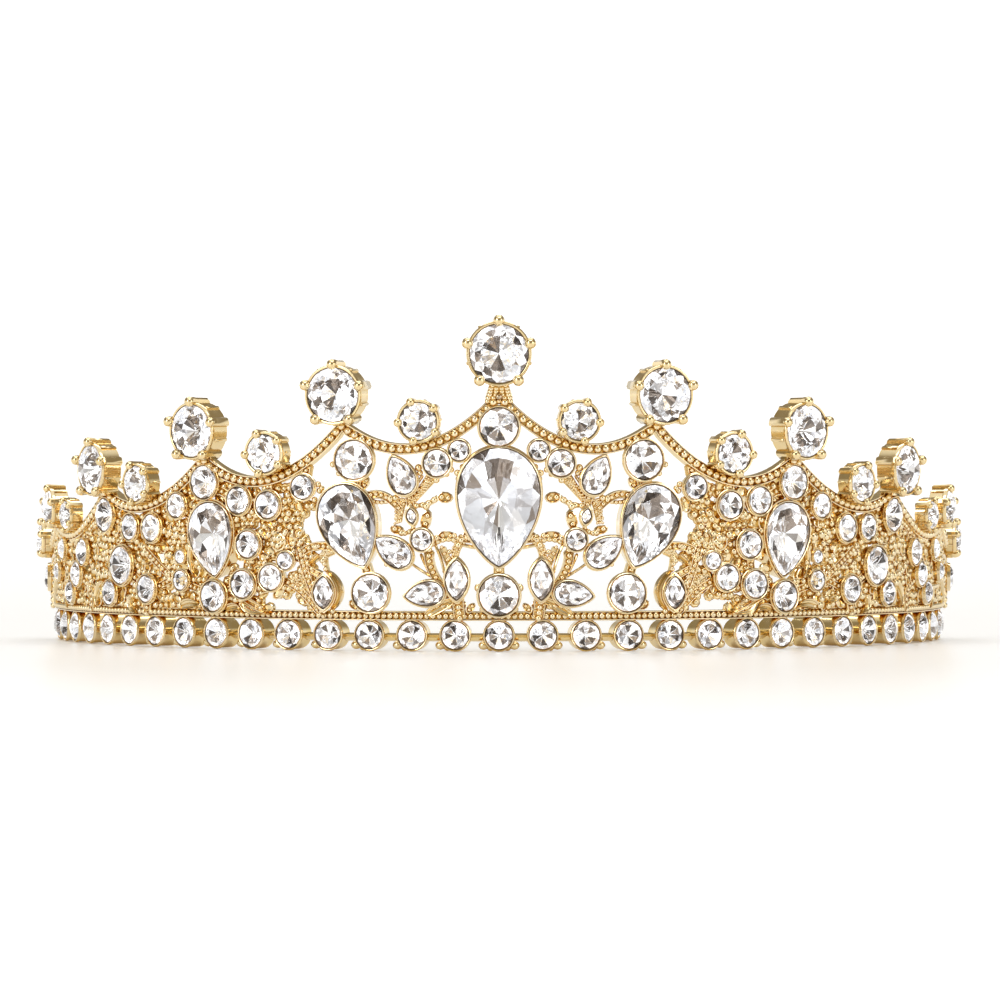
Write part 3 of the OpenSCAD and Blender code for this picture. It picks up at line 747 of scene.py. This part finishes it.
# A peak's setting: a drum with a rim, five claws up its side that end in balls, and thin ribs between them.
# Widths, reaches and the balls' places are shares of the stone; tops are height and share of the reach
drum = {"sides": 40, "claws": 5, "room": 0.8, "gap": 0.06, "ballOut": 0.658, "ballHigh": 0.155,
        "claw": {"wide": 0.085, "reach": 0.13}, "rib": {"wide": 0.03, "reach": 0.055}}


def crownSetting(name, d, ballShare):
    inner = d / 2 + drum["gap"]
    back = -d * stoneCut["deep"] - drum["room"]
    rows = [(inner + 0.12, back), (inner + 0.3, back + 0.15), (inner + 0.3, -0.62), (inner + 0.46, -0.5),
            (inner + 0.46, -0.08), (inner + 0.36, 0.06), (inner + 0.18, 0.09), (inner + 0.08, 0.04),
            (inner + 0.06, -0.04), (inner - 0.03, -0.1), (0.06 * inner, -0.4 * d)]
    shape = lathe(rows, drum["sides"])
    # The ring beside the stone takes the painted gap shadow
    shape.darken(len(rows) - 3, drum["sides"])
    tops = {"claw": [(back, 0.55), (back + 0.35, 0.8), (-0.6, 0.9), (0.0, 1.0), (0.05 * d, 0.9)],
            "rib": [(back + 0.1, 0.6), (back + 0.35, 1.0), (-0.75, 1.0), (-0.6, 0.7)]}
    for i in range(2 * drum["claws"]):
        kind = "rib" if i % 2 else "claw"
        a = math.radians(180 / drum["claws"] * i)
        wide, reach = drum[kind]["wide"] * d, drum[kind]["reach"] * d
        out, across = Vector((math.sin(a), math.cos(a), 0)), Vector((math.cos(a), -math.sin(a), 0))
        rings = []
        for z, share in tops[kind]:
            top = inner + 0.2 + reach * share
            rings.append([out * rr + across * ww + Vector((0, 0, z)) for rr, ww in (
                (inner + 0.05, -wide), (top - 0.4 * wide, -wide), (top, -0.6 * wide), (top, 0.6 * wide),
                (top - 0.4 * wide, wide), (inner + 0.05, wide))])
        shape.loft(rings)
        if kind == "claw":
            centre = out * ((drum["ballOut"] - ballShare / 2) * d + 0.1) \
                + Vector((0, 0, (drum["ballHigh"] - ballShare / 2) * d))
            points = [centre + Vector(v.co) * ballShare * d for v in ball.data.vertices]
            shape.add(points, [list(p.vertices) for p in ball.data.polygons])
    setting = shape.made(name, [settingGold, gapShade])
    masters.append(setting)
    return setting


# Settings, columns: name, stone that it is made for, share of the balls, rows
settingKinds = [
    ("large", 8, 0.205, bothSides([row + [0] for row in peaks[:3] + [frontPeak]], 4)),
    ("small", 5.4, 0.25,
     bothSides([row + [0] for row in peaks[3:]] + [row + [-22] for row in smallPeaks], 4))]
metalPiece(joined("peak_settings", [
    scatter(name, crownSetting(name + " setting", d, ballShare), settingGold, [
        (stand(row[0], row[1], head["peakR"] - row[3], row[4]), (row[2] / d,) * 3) for row in rows], gapShade)
    for name, d, ballShare, rows in settingKinds]))
print("peak settings set")

# Rails: a bar with raised edges and a row of beads between them
swags = [[0, 39.55, 20.4, 34.85, 5.6], [20.4, 34.85, 41.0, 29.35, 5.7], [41.0, 29.35, 61.0, 23.85, 4.5],
         [61.0, 23.85, 80.0, 18.85, 4.2], [80.0, 18.85, 91.4, 14.3, 1.6]]
rail = {"z": 5.534, "high": 1.5, "end": 92.16, "back": 67.5, "front": 69.4, "steps": 90,
        "bead": 0.98, "beadR": 69.3, "pitch": 0.97}
swagRail = {"high": 1.8, "back": 68.4, "front": 70.1, "longSpan": 15, "steps": 24, "fewSteps": 12,
            "bead": 1.28, "beadR": 69.98, "pitch": 1.28}


def hang(row, t):
    return row[1] + (row[3] - row[1]) * t - row[4] * 4 * t * (1 - t)


def railPlaces(n):
    return [rail["end"] * i / n for i in range(-n, n + 1)]


rails = Shape()
sweep(rails, [[a, rail["z"], rail["high"]] for a in railPlaces(rail["steps"])],
      rail["back"], rail["front"], "rail")
beadPaths = []
for sign in (-1, 1):
    path = []
    for row in swags:
        n = swagRail["steps" if row[2] - row[0] > swagRail["longSpan"] else "fewSteps"]
        path += [[sign * (row[0] + (row[2] - row[0]) * s / n), hang(row, s / n), swagRail["high"]]
                 for s in range(1 if path else 0, n + 1)]
    sweep(rails, path, swagRail["back"], swagRail["front"], "rail")
    beadPaths.append([(spot(a, z, swagRail["beadR"]), swagRail["bead"]) for a, z, w in path])
metalPiece(rails.made("beaded_rails", [gold]))
railBeads = [(spot(a, rail["z"], rail["beadR"]), rail["bead"]) for a in railPlaces(2 * rail["steps"])]
metalPiece(joined("rail_beads", [
    beadLines("swag beads", ball, beadGold, beadPaths, swagRail["pitch"]),
    beadLines("rail beads", ball, beadGold, [railBeads], rail["pitch"])]))
print("rails set")

# Scrolls, leaves and wires by kind, columns: angle and height at start, middle and end, then both widths
scrolls = {
    "rail": [
        [17.2, 23.9, 14.9, 24.1, 12.4, 21.6, 1.4, 1.2], [8.9, 15.8, 8.7, 13.1, 7.2, 10.0, 1.7, 1.3],
        [20.2, 15.5, 24.0, 16.2, 26.6, 14.4, 1.5, 1.3], [26.4, 16.4, 25.3, 11.8, 23.0, 5.4, 1.4, 1.2],
        [28.6, 10.9, 25.9, 9.0, 23.4, 5.7, 1.3, 1.2], [52.6, 15.6, 49.4, 13.0, 46.0, 10.4, 1.5, 1.2],
        [62.6, 19.4, 65.6, 18.2, 66.8, 15.8, 1.5, 1.3], [65.6, 5.4, 65.6, 8.2, 68.4, 10.0, 1.3, 1.3],
        [91.2, 14.6, 92.6, 10.0, 91.2, 5.2, 1.6, 1.6]],
    "sand": [
        [8.5, 27.3, 9.8, 25.3, 11.3, 23.0, 2.0, 0.9], [4.8, 17.1, 5.5, 15.6, 5.7, 13.4, 1.4, 1.1],
        [12.4, 23.6, 12.8, 22.0, 13.0, 20.0, 1.5, 1.1], [7.8, 9.9, 7.0, 9.1, 6.3, 7.6, 1.2, 1.3],
        [21.7, 15.8, 22.8, 15.1, 23.4, 14.2, 1.8, 1.2], [25.4, 13.0, 25.9, 10.8, 24.2, 7.8, 1.2, 1.4],
        [27.4, 11.8, 26.4, 10.0, 24.6, 7.6, 1.1, 1.4]],
    "pods": [
        [3.3, 17.3, 4.2, 17.7, 5.0, 17.0, 1.2, 1.1], [28.8, 22.1, 26.8, 19.4, 26.2, 15.9, 1.4, 1.3],
        [35.8, 20.1, 31.8, 20.6, 28.2, 17.6, 1.3, 1.2], [32.0, 18.3, 29.6, 17.2, 26.8, 14.8, 1.6, 1.3],
        [43.2, 16.8, 45.8, 17.6, 48.6, 18.2, 2.0, 1.5], [54.9, 16.8, 52.4, 15.0, 54.6, 13.0, 1.5, 1.4],
        [60.6, 17.6, 62.0, 14.8, 59.2, 12.8, 1.5, 1.4], [59.2, 11.6, 62.8, 11.0, 66.2, 13.2, 1.4, 1.3],
        [69.0, 14.8, 71.4, 16.2, 74.0, 15.2, 1.4, 1.3], [80.4, 17.6, 82.8, 15.0, 81.4, 12.0, 1.5, 1.3],
        [14.0, 23.3, 15.6, 23.1, 17.2, 23.6, 0.8, 0.8], [11.0, 19.2, 11.8, 18.4, 12.8, 18.5, 0.9, 1.1],
        [10.6, 22.6, 9.0, 23.0, 7.6, 24.2, 1.1, 1.3], [5.2, 16.8, 6.6, 17.4, 8.6, 16.6, 0.9, 1.0],
        [8.6, 6.7, 7.4, 7.1, 6.4, 7.0, 1.0, 1.1], [22.9, 14.4, 22.8, 13.2, 22.5, 12.0, 1.0, 0.9]],
    "leaf": [
        [9.4, 5.6, 7.2, 7.2, 5.2, 8.3, 1.6, 1.5], [36.6, 8.8, 33.4, 7.2, 30.6, 5.5, 1.4, 1.4],
        [78.8, 11.2, 83.6, 12.8, 88.4, 10.9, 1.7, 1.5], [22.4, 12.3, 20.8, 9.2, 22.1, 6.1, 1.2, 1.2],
        [23.6, 14.9, 24.2, 14.2, 25.2, 13.4, 1.0, 0.9], [30.0, 18.4, 30.3, 19.4, 31.6, 19.9, 1.0, 0.9],
        [30.7, 17.4, 31.6, 18.1, 32.8, 18.7, 1.0, 0.8], [34.8, 7.6, 33.4, 6.2, 30.4, 5.9, 1.5, 1.2],
        [37.5, 6.1, 36.0, 6.6, 34.6, 5.7, 1.2, 1.0], [45.2, 6.4, 43.4, 7.0, 41.4, 6.4, 1.6, 1.2],
        [49.0, 8.4, 48.2, 7.6, 46.4, 7.6, 1.2, 1.0], [50.6, 16.2, 49.0, 16.6, 47.4, 15.8, 1.4, 1.1],
        [42.9, 15.9, 43.2, 13.6, 42.4, 11.0, 1.4, 1.0], [54.6, 7.8, 55.2, 6.4, 53.6, 5.2, 1.5, 1.2],
        [62.0, 9.6, 63.6, 8.2, 63.6, 6.0, 1.5, 1.2], [66.2, 19.4, 68.6, 17.6, 70.8, 17.4, 1.5, 1.2],
        [73.4, 17.4, 76.0, 17.2, 78.6, 16.4, 1.4, 1.1], [73.8, 8.6, 75.4, 7.2, 74.6, 5.4, 1.5, 1.2],
        [80.6, 9.8, 82.8, 8.4, 83.4, 5.8, 1.6, 1.2]],
    "wire": [
        [9.8, 27.3, 10.9, 25.2, 11.6, 22.8, 0.5, 0.5], [8.3, 16.8, 7.5, 14.4, 7.0, 12.0, 0.5, 0.5],
        [10.1, 15.2, 9.6, 13.7, 8.9, 12.1, 0.5, 0.4], [11.2, 13.6, 10.2, 12.7, 8.5, 11.5, 0.4, 0.5],
        [3.0, 16.1, 3.8, 16.3, 4.9, 16.6, 0.6, 0.6]]}
# Petals, columns: angle, height, width, length, turn
petals = [
    [6.9, 23.9, 1.9, 2.7, 95], [9.3, 20.4, 1.8, 3.4, 14], [13.1, 18.9, 1.5, 2.4, -80],
    [6.7, 18.0, 1.5, 3.2, 92], [3.9, 17.7, 1.4, 2.4, -55], [3.6, 6.8, 1.2, 2.0, 40], [4.6, 7.1, 1.2, 1.7, 15],
    [5.7, 7.0, 1.2, 1.6, 0], [29.4, 16.8, 2.9, 3.0, 0], [27.5, 17.2, 1.6, 3.0, 0], [18.7, 7.2, 1.6, 2.2, -60],
    [17.3, 26.1, 1.4, 2.2, 25], [33.0, 6.6, 1.6, 2.2, 70], [31.4, 18.9, 1.3, 2.0, -60],
    [22.2, 15.8, 1.5, 2.2, 60], [47.3, 11.3, 1.7, 1.9, 0], [52.6, 12.6, 1.6, 2.4, 10],
    [57.9, 16.6, 1.5, 2.3, 60], [45.9, 19.6, 1.5, 2.3, -30], [46.9, 16.9, 1.5, 2.2, 40],
    [63.8, 11.8, 1.7, 2.4, 20], [70.4, 16.4, 1.5, 2.3, -60], [80.2, 14.6, 1.8, 2.5, 10],
    [86.0, 8.4, 1.8, 2.5, -30]]
# Single beads, columns: angle, height, diameter
singleBeads = [
    [4.6, 28.6, 1.1], [5.3, 27.7, 1.1], [6.1, 28.2, 1.0], [5.2, 26.8, 0.9], [3.9, 29.4, 0.9],
    [6.7, 27.5, 1.0], [8.0, 26.6, 1.1], [10.3, 28.5, 1.2], [10.1, 27.7, 1.0], [9.3, 22.5, 1.2],
    [11.3, 24.5, 0.9], [13.3, 23.8, 1.1], [14.0, 23.7, 1.1], [17.9, 25.0, 1.1], [18.5, 26.5, 1.1],
    [19.5, 26.5, 1.0], [12.5, 18.4, 1.1], [13.4, 19.0, 1.0], [5.2, 16.5, 1.1], [6.3, 15.5, 0.8],
    [6.4, 14.4, 0.8], [6.1, 13.7, 0.8], [8.0, 17.6, 1.0], [5.7, 18.0, 0.9], [7.2, 9.8, 1.0], [2.6, 9.9, 1.4],
    [2.2, 9.1, 0.8], [2.1, 6.6, 1.0], [15.5, 6.3, 0.9], [14.5, 13.5, 0.8], [16.3, 17.0, 1.2],
    [16.6, 16.4, 0.9], [0, 12.7, 1.2], [1.3, 14.1, 0.7], [23.5, 24.8, 1.0], [23.7, 25.8, 1.0],
    [23.2, 25.2, 0.9], [24.2, 23.4, 1.0], [21.7, 6.2, 0.9], [27.4, 18.0, 0.6], [27.5, 16.5, 0.6],
    [21.7, 28.9, 1.0], [20.9, 27.5, 0.9], [24.0, 16.1, 1.1], [23.1, 14.0, 1.0]]
# Places in the closely filled sides that stay open, columns: angle, height, radius
openings = [
    [25.2, 19.2, 1.6], [24.6, 21.2, 1.0], [24.6, 17.3, 0.9], [23.7, 12.4, 0.9], [27.4, 7.2, 1.5],
    [29.6, 7.1, 1.6], [25.6, 6.4, 0.8], [31.4, 7.6, 1.0], [35.3, 13.2, 1.1], [32.7, 19.9, 0.6],
    [43.0, 8.6, 0.8], [44.3, 7.6, 1.0], [49.3, 13.9, 1.0], [46.6, 8.8, 0.9], [52.2, 6.8, 1.0],
    [58.0, 6.2, 0.7], [62.6, 6.2, 0.9], [61.6, 12.9, 0.7], [71.4, 12.9, 0.7], [79.6, 8.2, 1.0],
    [85.6, 12.0, 1.0], [87.6, 7.0, 0.9]]
# Short links, columns: angle and height at each end, then the width
links = [
    [3.1, 17.4, 5.2, 17.6, 1.3], [7.3, 16.2, 6.2, 13.2, 1.2], [5.3, 8.6, 5.0, 5.2, 2.0],
    [11.6, 24.8, 11.2, 21.8, 1.3], [18.8, 27.0, 18.9, 24.8, 1.8], [17.3, 13.6, 16.8, 11.6, 1.7],
    [14.9, 16.8, 17.0, 17.6, 1.2], [22.9, 11.4, 25.2, 12.8, 1.1], [25.5, 27.0, 25.2, 28.8, 1.5],
    [36.6, 23.8, 38.7, 24.8, 1.5], [30.7, 24.4, 31.0, 26.2, 1.5], [35.9, 9.6, 37.6, 8.8, 1.4],
    [33.9, 14.2, 34.2, 12.2, 1.4], [42.6, 20.2, 44.6, 21.6, 1.7], [41.2, 9.0, 46.6, 10.8, 1.3],
    [51.4, 7.2, 51.7, 5.2, 1.7], [46.8, 10.6, 49.8, 9.2, 1.2], [52.8, 9.9, 54.8, 11.2, 1.6],
    [56.4, 18.9, 58.8, 19.6, 1.7], [50.3, 20.3, 50.4, 22.0, 1.7], [76.0, 13.6, 79.8, 11.4, 1.4],
    [90.0, 8.0, 90.2, 5.2, 1.9], [67.4, 16.0, 67.8, 17.8, 1.5]]
# Radii to the back and front of each kind of bar, and to the middle of what stands on them
depths = {"leaf": (68.6, 70.1), "rail": (68.6, 69.9), "pods": (68.6, 69.5), "link": (68.7, 69.9),
          "wire": (68.9, 69.6), "sand": (68.7, 69.6)}
onBars = {"podR": 69.55, "fineR": 69.75, "beadR": 69.6, "petalR": 69.45, "pod": 0.88, "podGap": 0.96,
          "podFlat": 0.9, "railBead": 0.56, "linkBead": 0.5, "petalHigh": 1.2, "petalBead": 0.5,
          "petalBeadAt": 0.19, "petalBeadLift": 0.1, "podBar": 0.72, "podBarSkip": 4, "finePitch": 0.84}
sand = {"across": 4, "apart": 0.25, "loose": (0.1, 0.2), "grain": 0.46}
leafForm = {"tip": 0.35, "belly": 0.8, "ahead": 0.08, "bend": 0.8}
scrollSteps = {"pods": 40, "sand": 10, "leaf": 14, "rail": 14, "wire": 14}
linkStep = 0.3
bars = Shape()
podPlaces, petalPlaces, platePlaces, finePaths, grainPlaces = [], [], [], [], []
dice = random.Random(11)


def loosely(most):
    return dice.uniform(-most, most)


def setPods(path):
    i = 0
    while i < len(path) - 1:
        a, z, w = path[i]
        size = w * onBars["pod"]
        podPlaces.append((stand(a, z, onBars["podR"]), (size, size, size * onBars["podFlat"])))
        gone = 0
        while i < len(path) - 1 and gone < size * onBars["podGap"]:
            gone += math.hypot((path[i + 1][0] - path[i][0]) * degree, path[i + 1][1] - path[i][1])
            i += 1


def leafWide(w, t):
    rise = math.sin(math.pi * min(1, t + leafForm["ahead"]))
    return w * (leafForm["tip"] + leafForm["belly"] * rise ** leafForm["bend"])


def setScroll(kind, row, sign):
    steps = scrollSteps[kind]
    path = [[sign * a, z, w] for a, z, w in threePoint(row, steps)]
    if kind == "leaf":
        leaf = [[a, z, leafWide(w, i / steps)] for i, (a, z, w) in enumerate(path)]
        sweep(bars, leaf, *depths[kind], "leaf")
    elif kind == "rail":
        sweep(bars, path, *depths[kind], "rail")
        finePaths.append([(spot(a, z, onBars["fineR"]), w * onBars["railBead"]) for a, z, w in path])
    elif kind == "pods":
        under = [[a, z, w * onBars["podBar"]] for a, z, w in path[::onBars["podBarSkip"]]]
        sweep(bars, under, *depths[kind], "ridge")
        setPods(path)
    else:
        sweep(bars, path, *depths[kind], "ridge")
    if kind == "sand":
        for a, z, w in path:
            for grain in range(sand["across"]):
                out = (grain - (sand["across"] - 1) / 2) * sand["apart"] * w + loosely(sand["loose"][0])
                high = z + loosely(sand["loose"][1])
                grainPlaces.append((stand(a + out / degree, high, onBars["podR"]), (sand["grain"],) * 3))


for sign in (-1, 1):
    for kind, rows in scrolls.items():
        for row in rows:
            setScroll(kind, row, sign)
    for row in links:
        path = straightPath([sign * row[0], row[1], row[4]], [sign * row[2], row[3], row[4]], linkStep)
        sweep(bars, path, *depths["link"], "rail")
        finePaths.append([(spot(a, z, onBars["fineR"]), w * onBars["linkBead"]) for a, z, w in path])
for row in bothSides(singleBeads):
    podPlaces.append((stand(row[0], row[1], onBars["beadR"]), (row[2],) * 3))
for row in bothSides(petals, 4):
    place = stand(row[0], row[1], onBars["petalR"], row[4])
    petalPlaces.append((place, (row[2], row[3], onBars["petalHigh"])))
    for along in (-onBars["petalBeadAt"], onBars["petalBeadAt"]):
        shift = Vector((0, along * row[3], onBars["petalBeadLift"])) * mm
        podPlaces.append((place @ Matrix.Translation(shift), (onBars["petalBead"] * row[2],) * 3))


def insideStone(angle, high, room):
    for row in bothSides(smallRounds + tinyRounds + rounds):
        if math.hypot((angle - row[0]) * degree, high - row[1]) < row[2] / 2 + room:
            return True
    for row in bothSides(sidePears + smallPears + navettes + tinyNavettes, 4):
        turn = math.radians(row[4])
        across, along = (angle - row[0]) * degree, high - row[1]
        x = across * math.cos(turn) + along * math.sin(turn)
        y = along * math.cos(turn) - across * math.sin(turn)
        if math.hypot(x / (row[2] / 2 + room), y / (row[3] / 2 + room)) < 1:
            return True
    return False


def roofAt(angle):
    return min(hang(row, (angle - row[0]) / (row[2] - row[0])) for row in swags if row[0] <= angle <= row[2])


# Cast granules and petals fill the sides between the cups, each on a small plate
fill = {"pitch": 1.12, "rows": 20, "inRow": 74, "from": 24.6, "to": 91.2, "low": 6.7, "rowShare": 0.87,
        "loose": 0.2, "roofRoom": 1.0, "stoneRoom": 0.5, "beadShare": 0.72, "bead": (0.85, 0.5),
        "beadR": (69.15, 0.4), "petalWide": (1.2, 0.4), "petalLong": (1.9, 0.7), "petalHigh": 1.1,
        "plate": (1.8, 1.8, 0.5), "plateR": (68.9, 0.1)}


def ranged(pair, share):
    return pair[0] + pair[1] * share


def fillSides():
    for sign in (-1, 1):
        for j in range(fill["rows"]):
            for i in range(fill["inRow"]):
                angle = fill["from"] + (i + 0.5 * (j % 2)) * fill["pitch"] / degree + loosely(fill["loose"])
                high = fill["low"] + j * fill["pitch"] * fill["rowShare"] + loosely(fill["loose"])
                kind, size, turn, lift = [dice.random() for k in range(4)]
                shut = any(math.hypot((angle - row[0]) * degree, high - row[1]) < row[2] for row in openings)
                if shut or angle > fill["to"] or high > roofAt(angle) - fill["roofRoom"] \
                        or insideStone(sign * angle, high, fill["stoneRoom"]):
                    continue
                under = stand(sign * angle, high, ranged(fill["plateR"], size), 360 * turn)
                place = stand(sign * angle, high, ranged(fill["beadR"], lift), 360 * turn)
                platePlaces.append((under, fill["plate"]))
                if kind < fill["beadShare"]:
                    podPlaces.append((place, (ranged(fill["bead"], size),) * 3))
                else:
                    wide, long = ranged(fill["petalWide"], size), ranged(fill["petalLong"], size)
                    petalPlaces.append((place, (wide, long, fill["petalHigh"])))


fillSides()

# Beaded neck under the front peak, which widens down to the rail, and the link under the front pear
neck = {"top": 42.3, "step": 0.5, "rows": 8, "wide": 2.6, "grow": 0.32, "back": 68.6, "front": 69.8,
        "bead": 0.95, "spread": 0.92}
underPear = {"ends": ([0, 14.2, 1.8], [0, 11.2, 1.8]), "step": 0.8, "back": 68.6, "front": 70}
neckRows = [[0, neck["top"] - neck["step"] * i, neck["wide"] + neck["grow"] * i] for i in range(neck["rows"])]
sweep(bars, neckRows, neck["back"], neck["front"], "ridge")
for a, z, w in neckRows:
    n = round(w)
    for i in range(n):
        across = (i - (n - 1) / 2) * neck["spread"] * w / n / degree
        podPlaces.append((stand(across, z, onBars["fineR"]), (neck["bead"],) * 3))
sweep(bars, straightPath(*underPear["ends"], underPear["step"]),
      underPear["back"], underPear["front"], "ridge")
metalPiece(bars.made("wall_scrolls", [gold]))
scrollBeads = joined("scroll_beads", [
    beadLines("fine beads", ball, beadGold, finePaths, onBars["finePitch"]),
    scatter("pods", ball, beadGold, podPlaces), scatter("grains", ball, gold, grainPlaces)])
metalPiece(scatter("wall_petals", petal, beadGold, petalPlaces))
metalPiece(scatter("wall_plates", plate, gold, platePlaces))
metalPiece(scrollBeads)
print("scrolls set,", len(podPlaces), "beads,", len(petalPlaces), "petals,", len(platePlaces), "plates")

# Band spacers, and two balls at the lower outer edge of each cup, the first one larger
spacer = {"gap": 1.6, "drop": 0.35, "high": 1.3, "back": 65.8, "front": 67.6}
bandBall = {"turn": 2.0, "z": 0.95, "r": 67.9, "size": (1.7, 1.35, 1.4)}
innerBall = {"turn": 0.9, "z": 0.62, "r": 67.7, "size": (1.2, 1.1, 1.3)}
ballBar = {"wide": 0.9, "z": (1.0, 0.9), "back": 65.9, "front": 67.8}
spacers = Shape()
ballPlaces = []
for i in bandRow[:-1]:
    low, high = i * band["step"] + spacer["gap"], (i + 1) * band["step"] - spacer["gap"]
    path = [[low + (high - low) * s / 4, band["z"] - spacer["drop"], spacer["high"]] for s in range(5)]
    sweep(spacers, path, spacer["back"], spacer["front"], "ridge", False)
for i in bandRow:
    for sign in ([-1, 1] if i == 0 else [1 if i > 0 else -1]):
        angle = i * band["step"] + sign * bandBall["turn"]
        inner = angle - sign * innerBall["turn"]
        ballPlaces.append((stand(angle, bandBall["z"], bandBall["r"]), bandBall["size"]))
        ballPlaces.append((stand(inner, innerBall["z"], innerBall["r"]), innerBall["size"]))
        sweep(spacers, [[inner, ballBar["z"][0], ballBar["wide"]], [angle, ballBar["z"][1], ballBar["wide"]]],
              ballBar["back"], ballBar["front"], "ridge")
metalPiece(spacers.made("band_spacers", [gold]))
metalPiece(scatter("band_balls", ball, beadGold, ballPlaces))

# Plain end wires and their loops
endWire = {"sunk": 0.2, "bendIn": 2, "high": 2.1, "endHigh": 1.4, "back": 65.7, "front": 67.0, "steps": 36,
           "stepsInBand": 2}
loop = {"slack": 0.08, "wireR": 0.725, "steps": 40, "sides": 14}
wires = Shape()
bandEnd = band["side"] * band["step"]
wireEnd = ends["angle"] - (loopR - endWire["sunk"]) * 180 / math.pi / (head["bandR"] - endWire["bendIn"])
loopZ = loopR + ends["wire"] / 2
for sign in (-1, 1):
    path = []
    for i in range(-endWire["stepsInBand"], endWire["steps"] + 1):
        t = i / endWire["steps"]
        path.append([sign * (bandEnd + (wireEnd - bandEnd) * t), band["z"] + (loopZ - band["z"]) * t,
                     endWire["high"] + (endWire["endHigh"] - endWire["high"]) * t])
    sweep(wires, path, endWire["back"], endWire["front"], "wire", False)
    place = stand(sign * ends["angle"], loopZ, loopInR)
    rings = []
    for i in range(loop["steps"] + 1):
        a = 2 * math.pi * i / loop["steps"]
        out = Vector((math.cos(a), math.sin(a), 0))
        rings.append([])
        for b in fullTurn(loop["sides"]):
            reach, high = loopR - loop["slack"] + loop["wireR"] * math.cos(b), loop["wireR"] * math.sin(b)
            rings[-1].append(place @ ((out * reach + Vector((0, 0, high))) * mm))
    wires.loft(rings, True)
metalPiece(wires.made("end_wires", [gold], 60))
print("band and ends set")

for master in masters:
    bpy.data.objects.remove(master)


# Wide pale floor, which glows a little far away so that it meets the white surroundings
floorLook = {"reach": 11, "glow": 0.6, "rough": 0.3, "glowFrom": 0.15, "glowTo": 1.6}


def paleStage():
    finish, graph, skin = newFinish("pale floor", {
        "Emission Strength": floorLook["glow"], "Roughness": floorLook["rough"]})
    place = graph.add("ShaderNodeTexCoord").outputs["Object"]
    clouds = graph.read("ShaderNodeTexNoise", "Fac", {"Vector": place, "Scale": 3.0})
    away = graph.read("ShaderNodeVectorMath", "Value", {0: place}, operation="LENGTH")
    far = away.between(floorLook["glowFrom"], floorLook["glowTo"])
    graph.link(mixed(graph, clouds, (0.93, 0.93, 0.925), (0.95, 0.95, 0.945)), skin, "Base Color")
    graph.link(mixed(graph, far, (0.2, 0.2, 0.2), (1.0, 1.0, 1.0)), skin, "Emission Color")
    shape = Shape()
    reach = floorLook["reach"]
    corners = [(-reach, -reach, 0), (reach, -reach, 0), (reach, reach, 0), (-reach, reach, 0)]
    shape.add(corners, [[0, 1, 2, 3]])
    shape.made("floor", [finish], 0)


paleStage()


def softLight(name, place, aim, size, power):
    lamp = bpy.data.lights.new(name, "AREA")
    lamp.shape = "RECTANGLE"
    lamp.size, lamp.size_y = size
    lamp.energy = power
    thing = added(name, lamp)
    thing.location = place
    thing.rotation_euler = (Vector(aim) - Vector(place)).to_track_quat("-Z", "Y").to_euler()
    thing.visible_camera = False


# Soft boxes, columns: place, aim, size, brightness
boxes = {
    "left box": ((-0.62, -0.7, 0.42), (0, 0, 0.03), (0.34, 0.5), 4.5),
    "right box": ((0.75, -0.6, 0.36), (0, 0, 0.03), (0.22, 0.5), 3.6),
    "high box": ((0.1, -0.45, 0.95), (0, 0, 0.03), (0.7, 0.25), 3.2),
    "back box": ((0, 0.5, 0.9), (0, 0.1, 0.0), (0.9, 0.3), 2.8)}
for name, (place, aimAt, size, bright) in boxes.items():
    softLight(name, place, aimAt, size, bright * math.pi * size[0] * size[1])

# White surroundings with a brown belt above eye level and a dim patch in front, for the metal to mirror
studio = {"belt": (0.30, 0.26, 0.19), "front": (0.5, 0.44, 0.37), "beltFrom": (0.16, 0.34),
          "beltTo": (0.72, 0.9), "patch": (0.86, 0.97)}
world = bpy.data.worlds.new("studio")
bpy.context.scene.world = world
world.use_nodes = True
sky = Graph(world.node_tree)
toward = sky.add("ShaderNodeSeparateXYZ", {0: sky.add("ShaderNodeTexCoord").outputs["Generated"]})
high = sky.number(toward.outputs[2])
belt = high.between(*studio["beltFrom"]) * (1 - high.between(*studio["beltTo"]))
front = (0 - sky.number(toward.outputs[1])).between(*studio["patch"])
white = mixed(sky, front, (1.0, 1.0, 1.0), studio["front"])
sky.link(mixed(sky, belt, white, studio["belt"]), world.node_tree.nodes["Background"], "Color")

# Camera: from the front as in the photograph, just above the floor; the picture is 1000 pixels wide
view = {"lens": 1400, "sensor": 36, "pixels": 1000, "pixelsAMm": 6.39, "above": 1.5,
        "aimX": 0.16, "aimZ": 21.7}
camera = bpy.data.cameras.new("camera")
camera.lens = view["lens"]
camera.sensor_width = view["sensor"]
eye = added("camera", camera)
distance = view["pixels"] / view["pixelsAMm"] * mm * camera.lens / camera.sensor_width
low = math.radians(view["above"])
aim = Vector((view["aimX"], circleY, view["aimZ"])) * mm
eye.location = aim + Vector((0, -math.cos(low), math.sin(low))) * distance
eye.rotation_euler = (aim - eye.location).to_track_quat("-Z", "Y").to_euler()
camera.clip_end = 30
scene = bpy.context.scene
scene.camera = eye
scene.view_settings.view_transform = "Standard"
scene.cycles.max_bounces = 12
scene.cycles.glossy_bounces = 8
scene.cycles.transmission_bounces = 10
print("stage, lights and camera set")
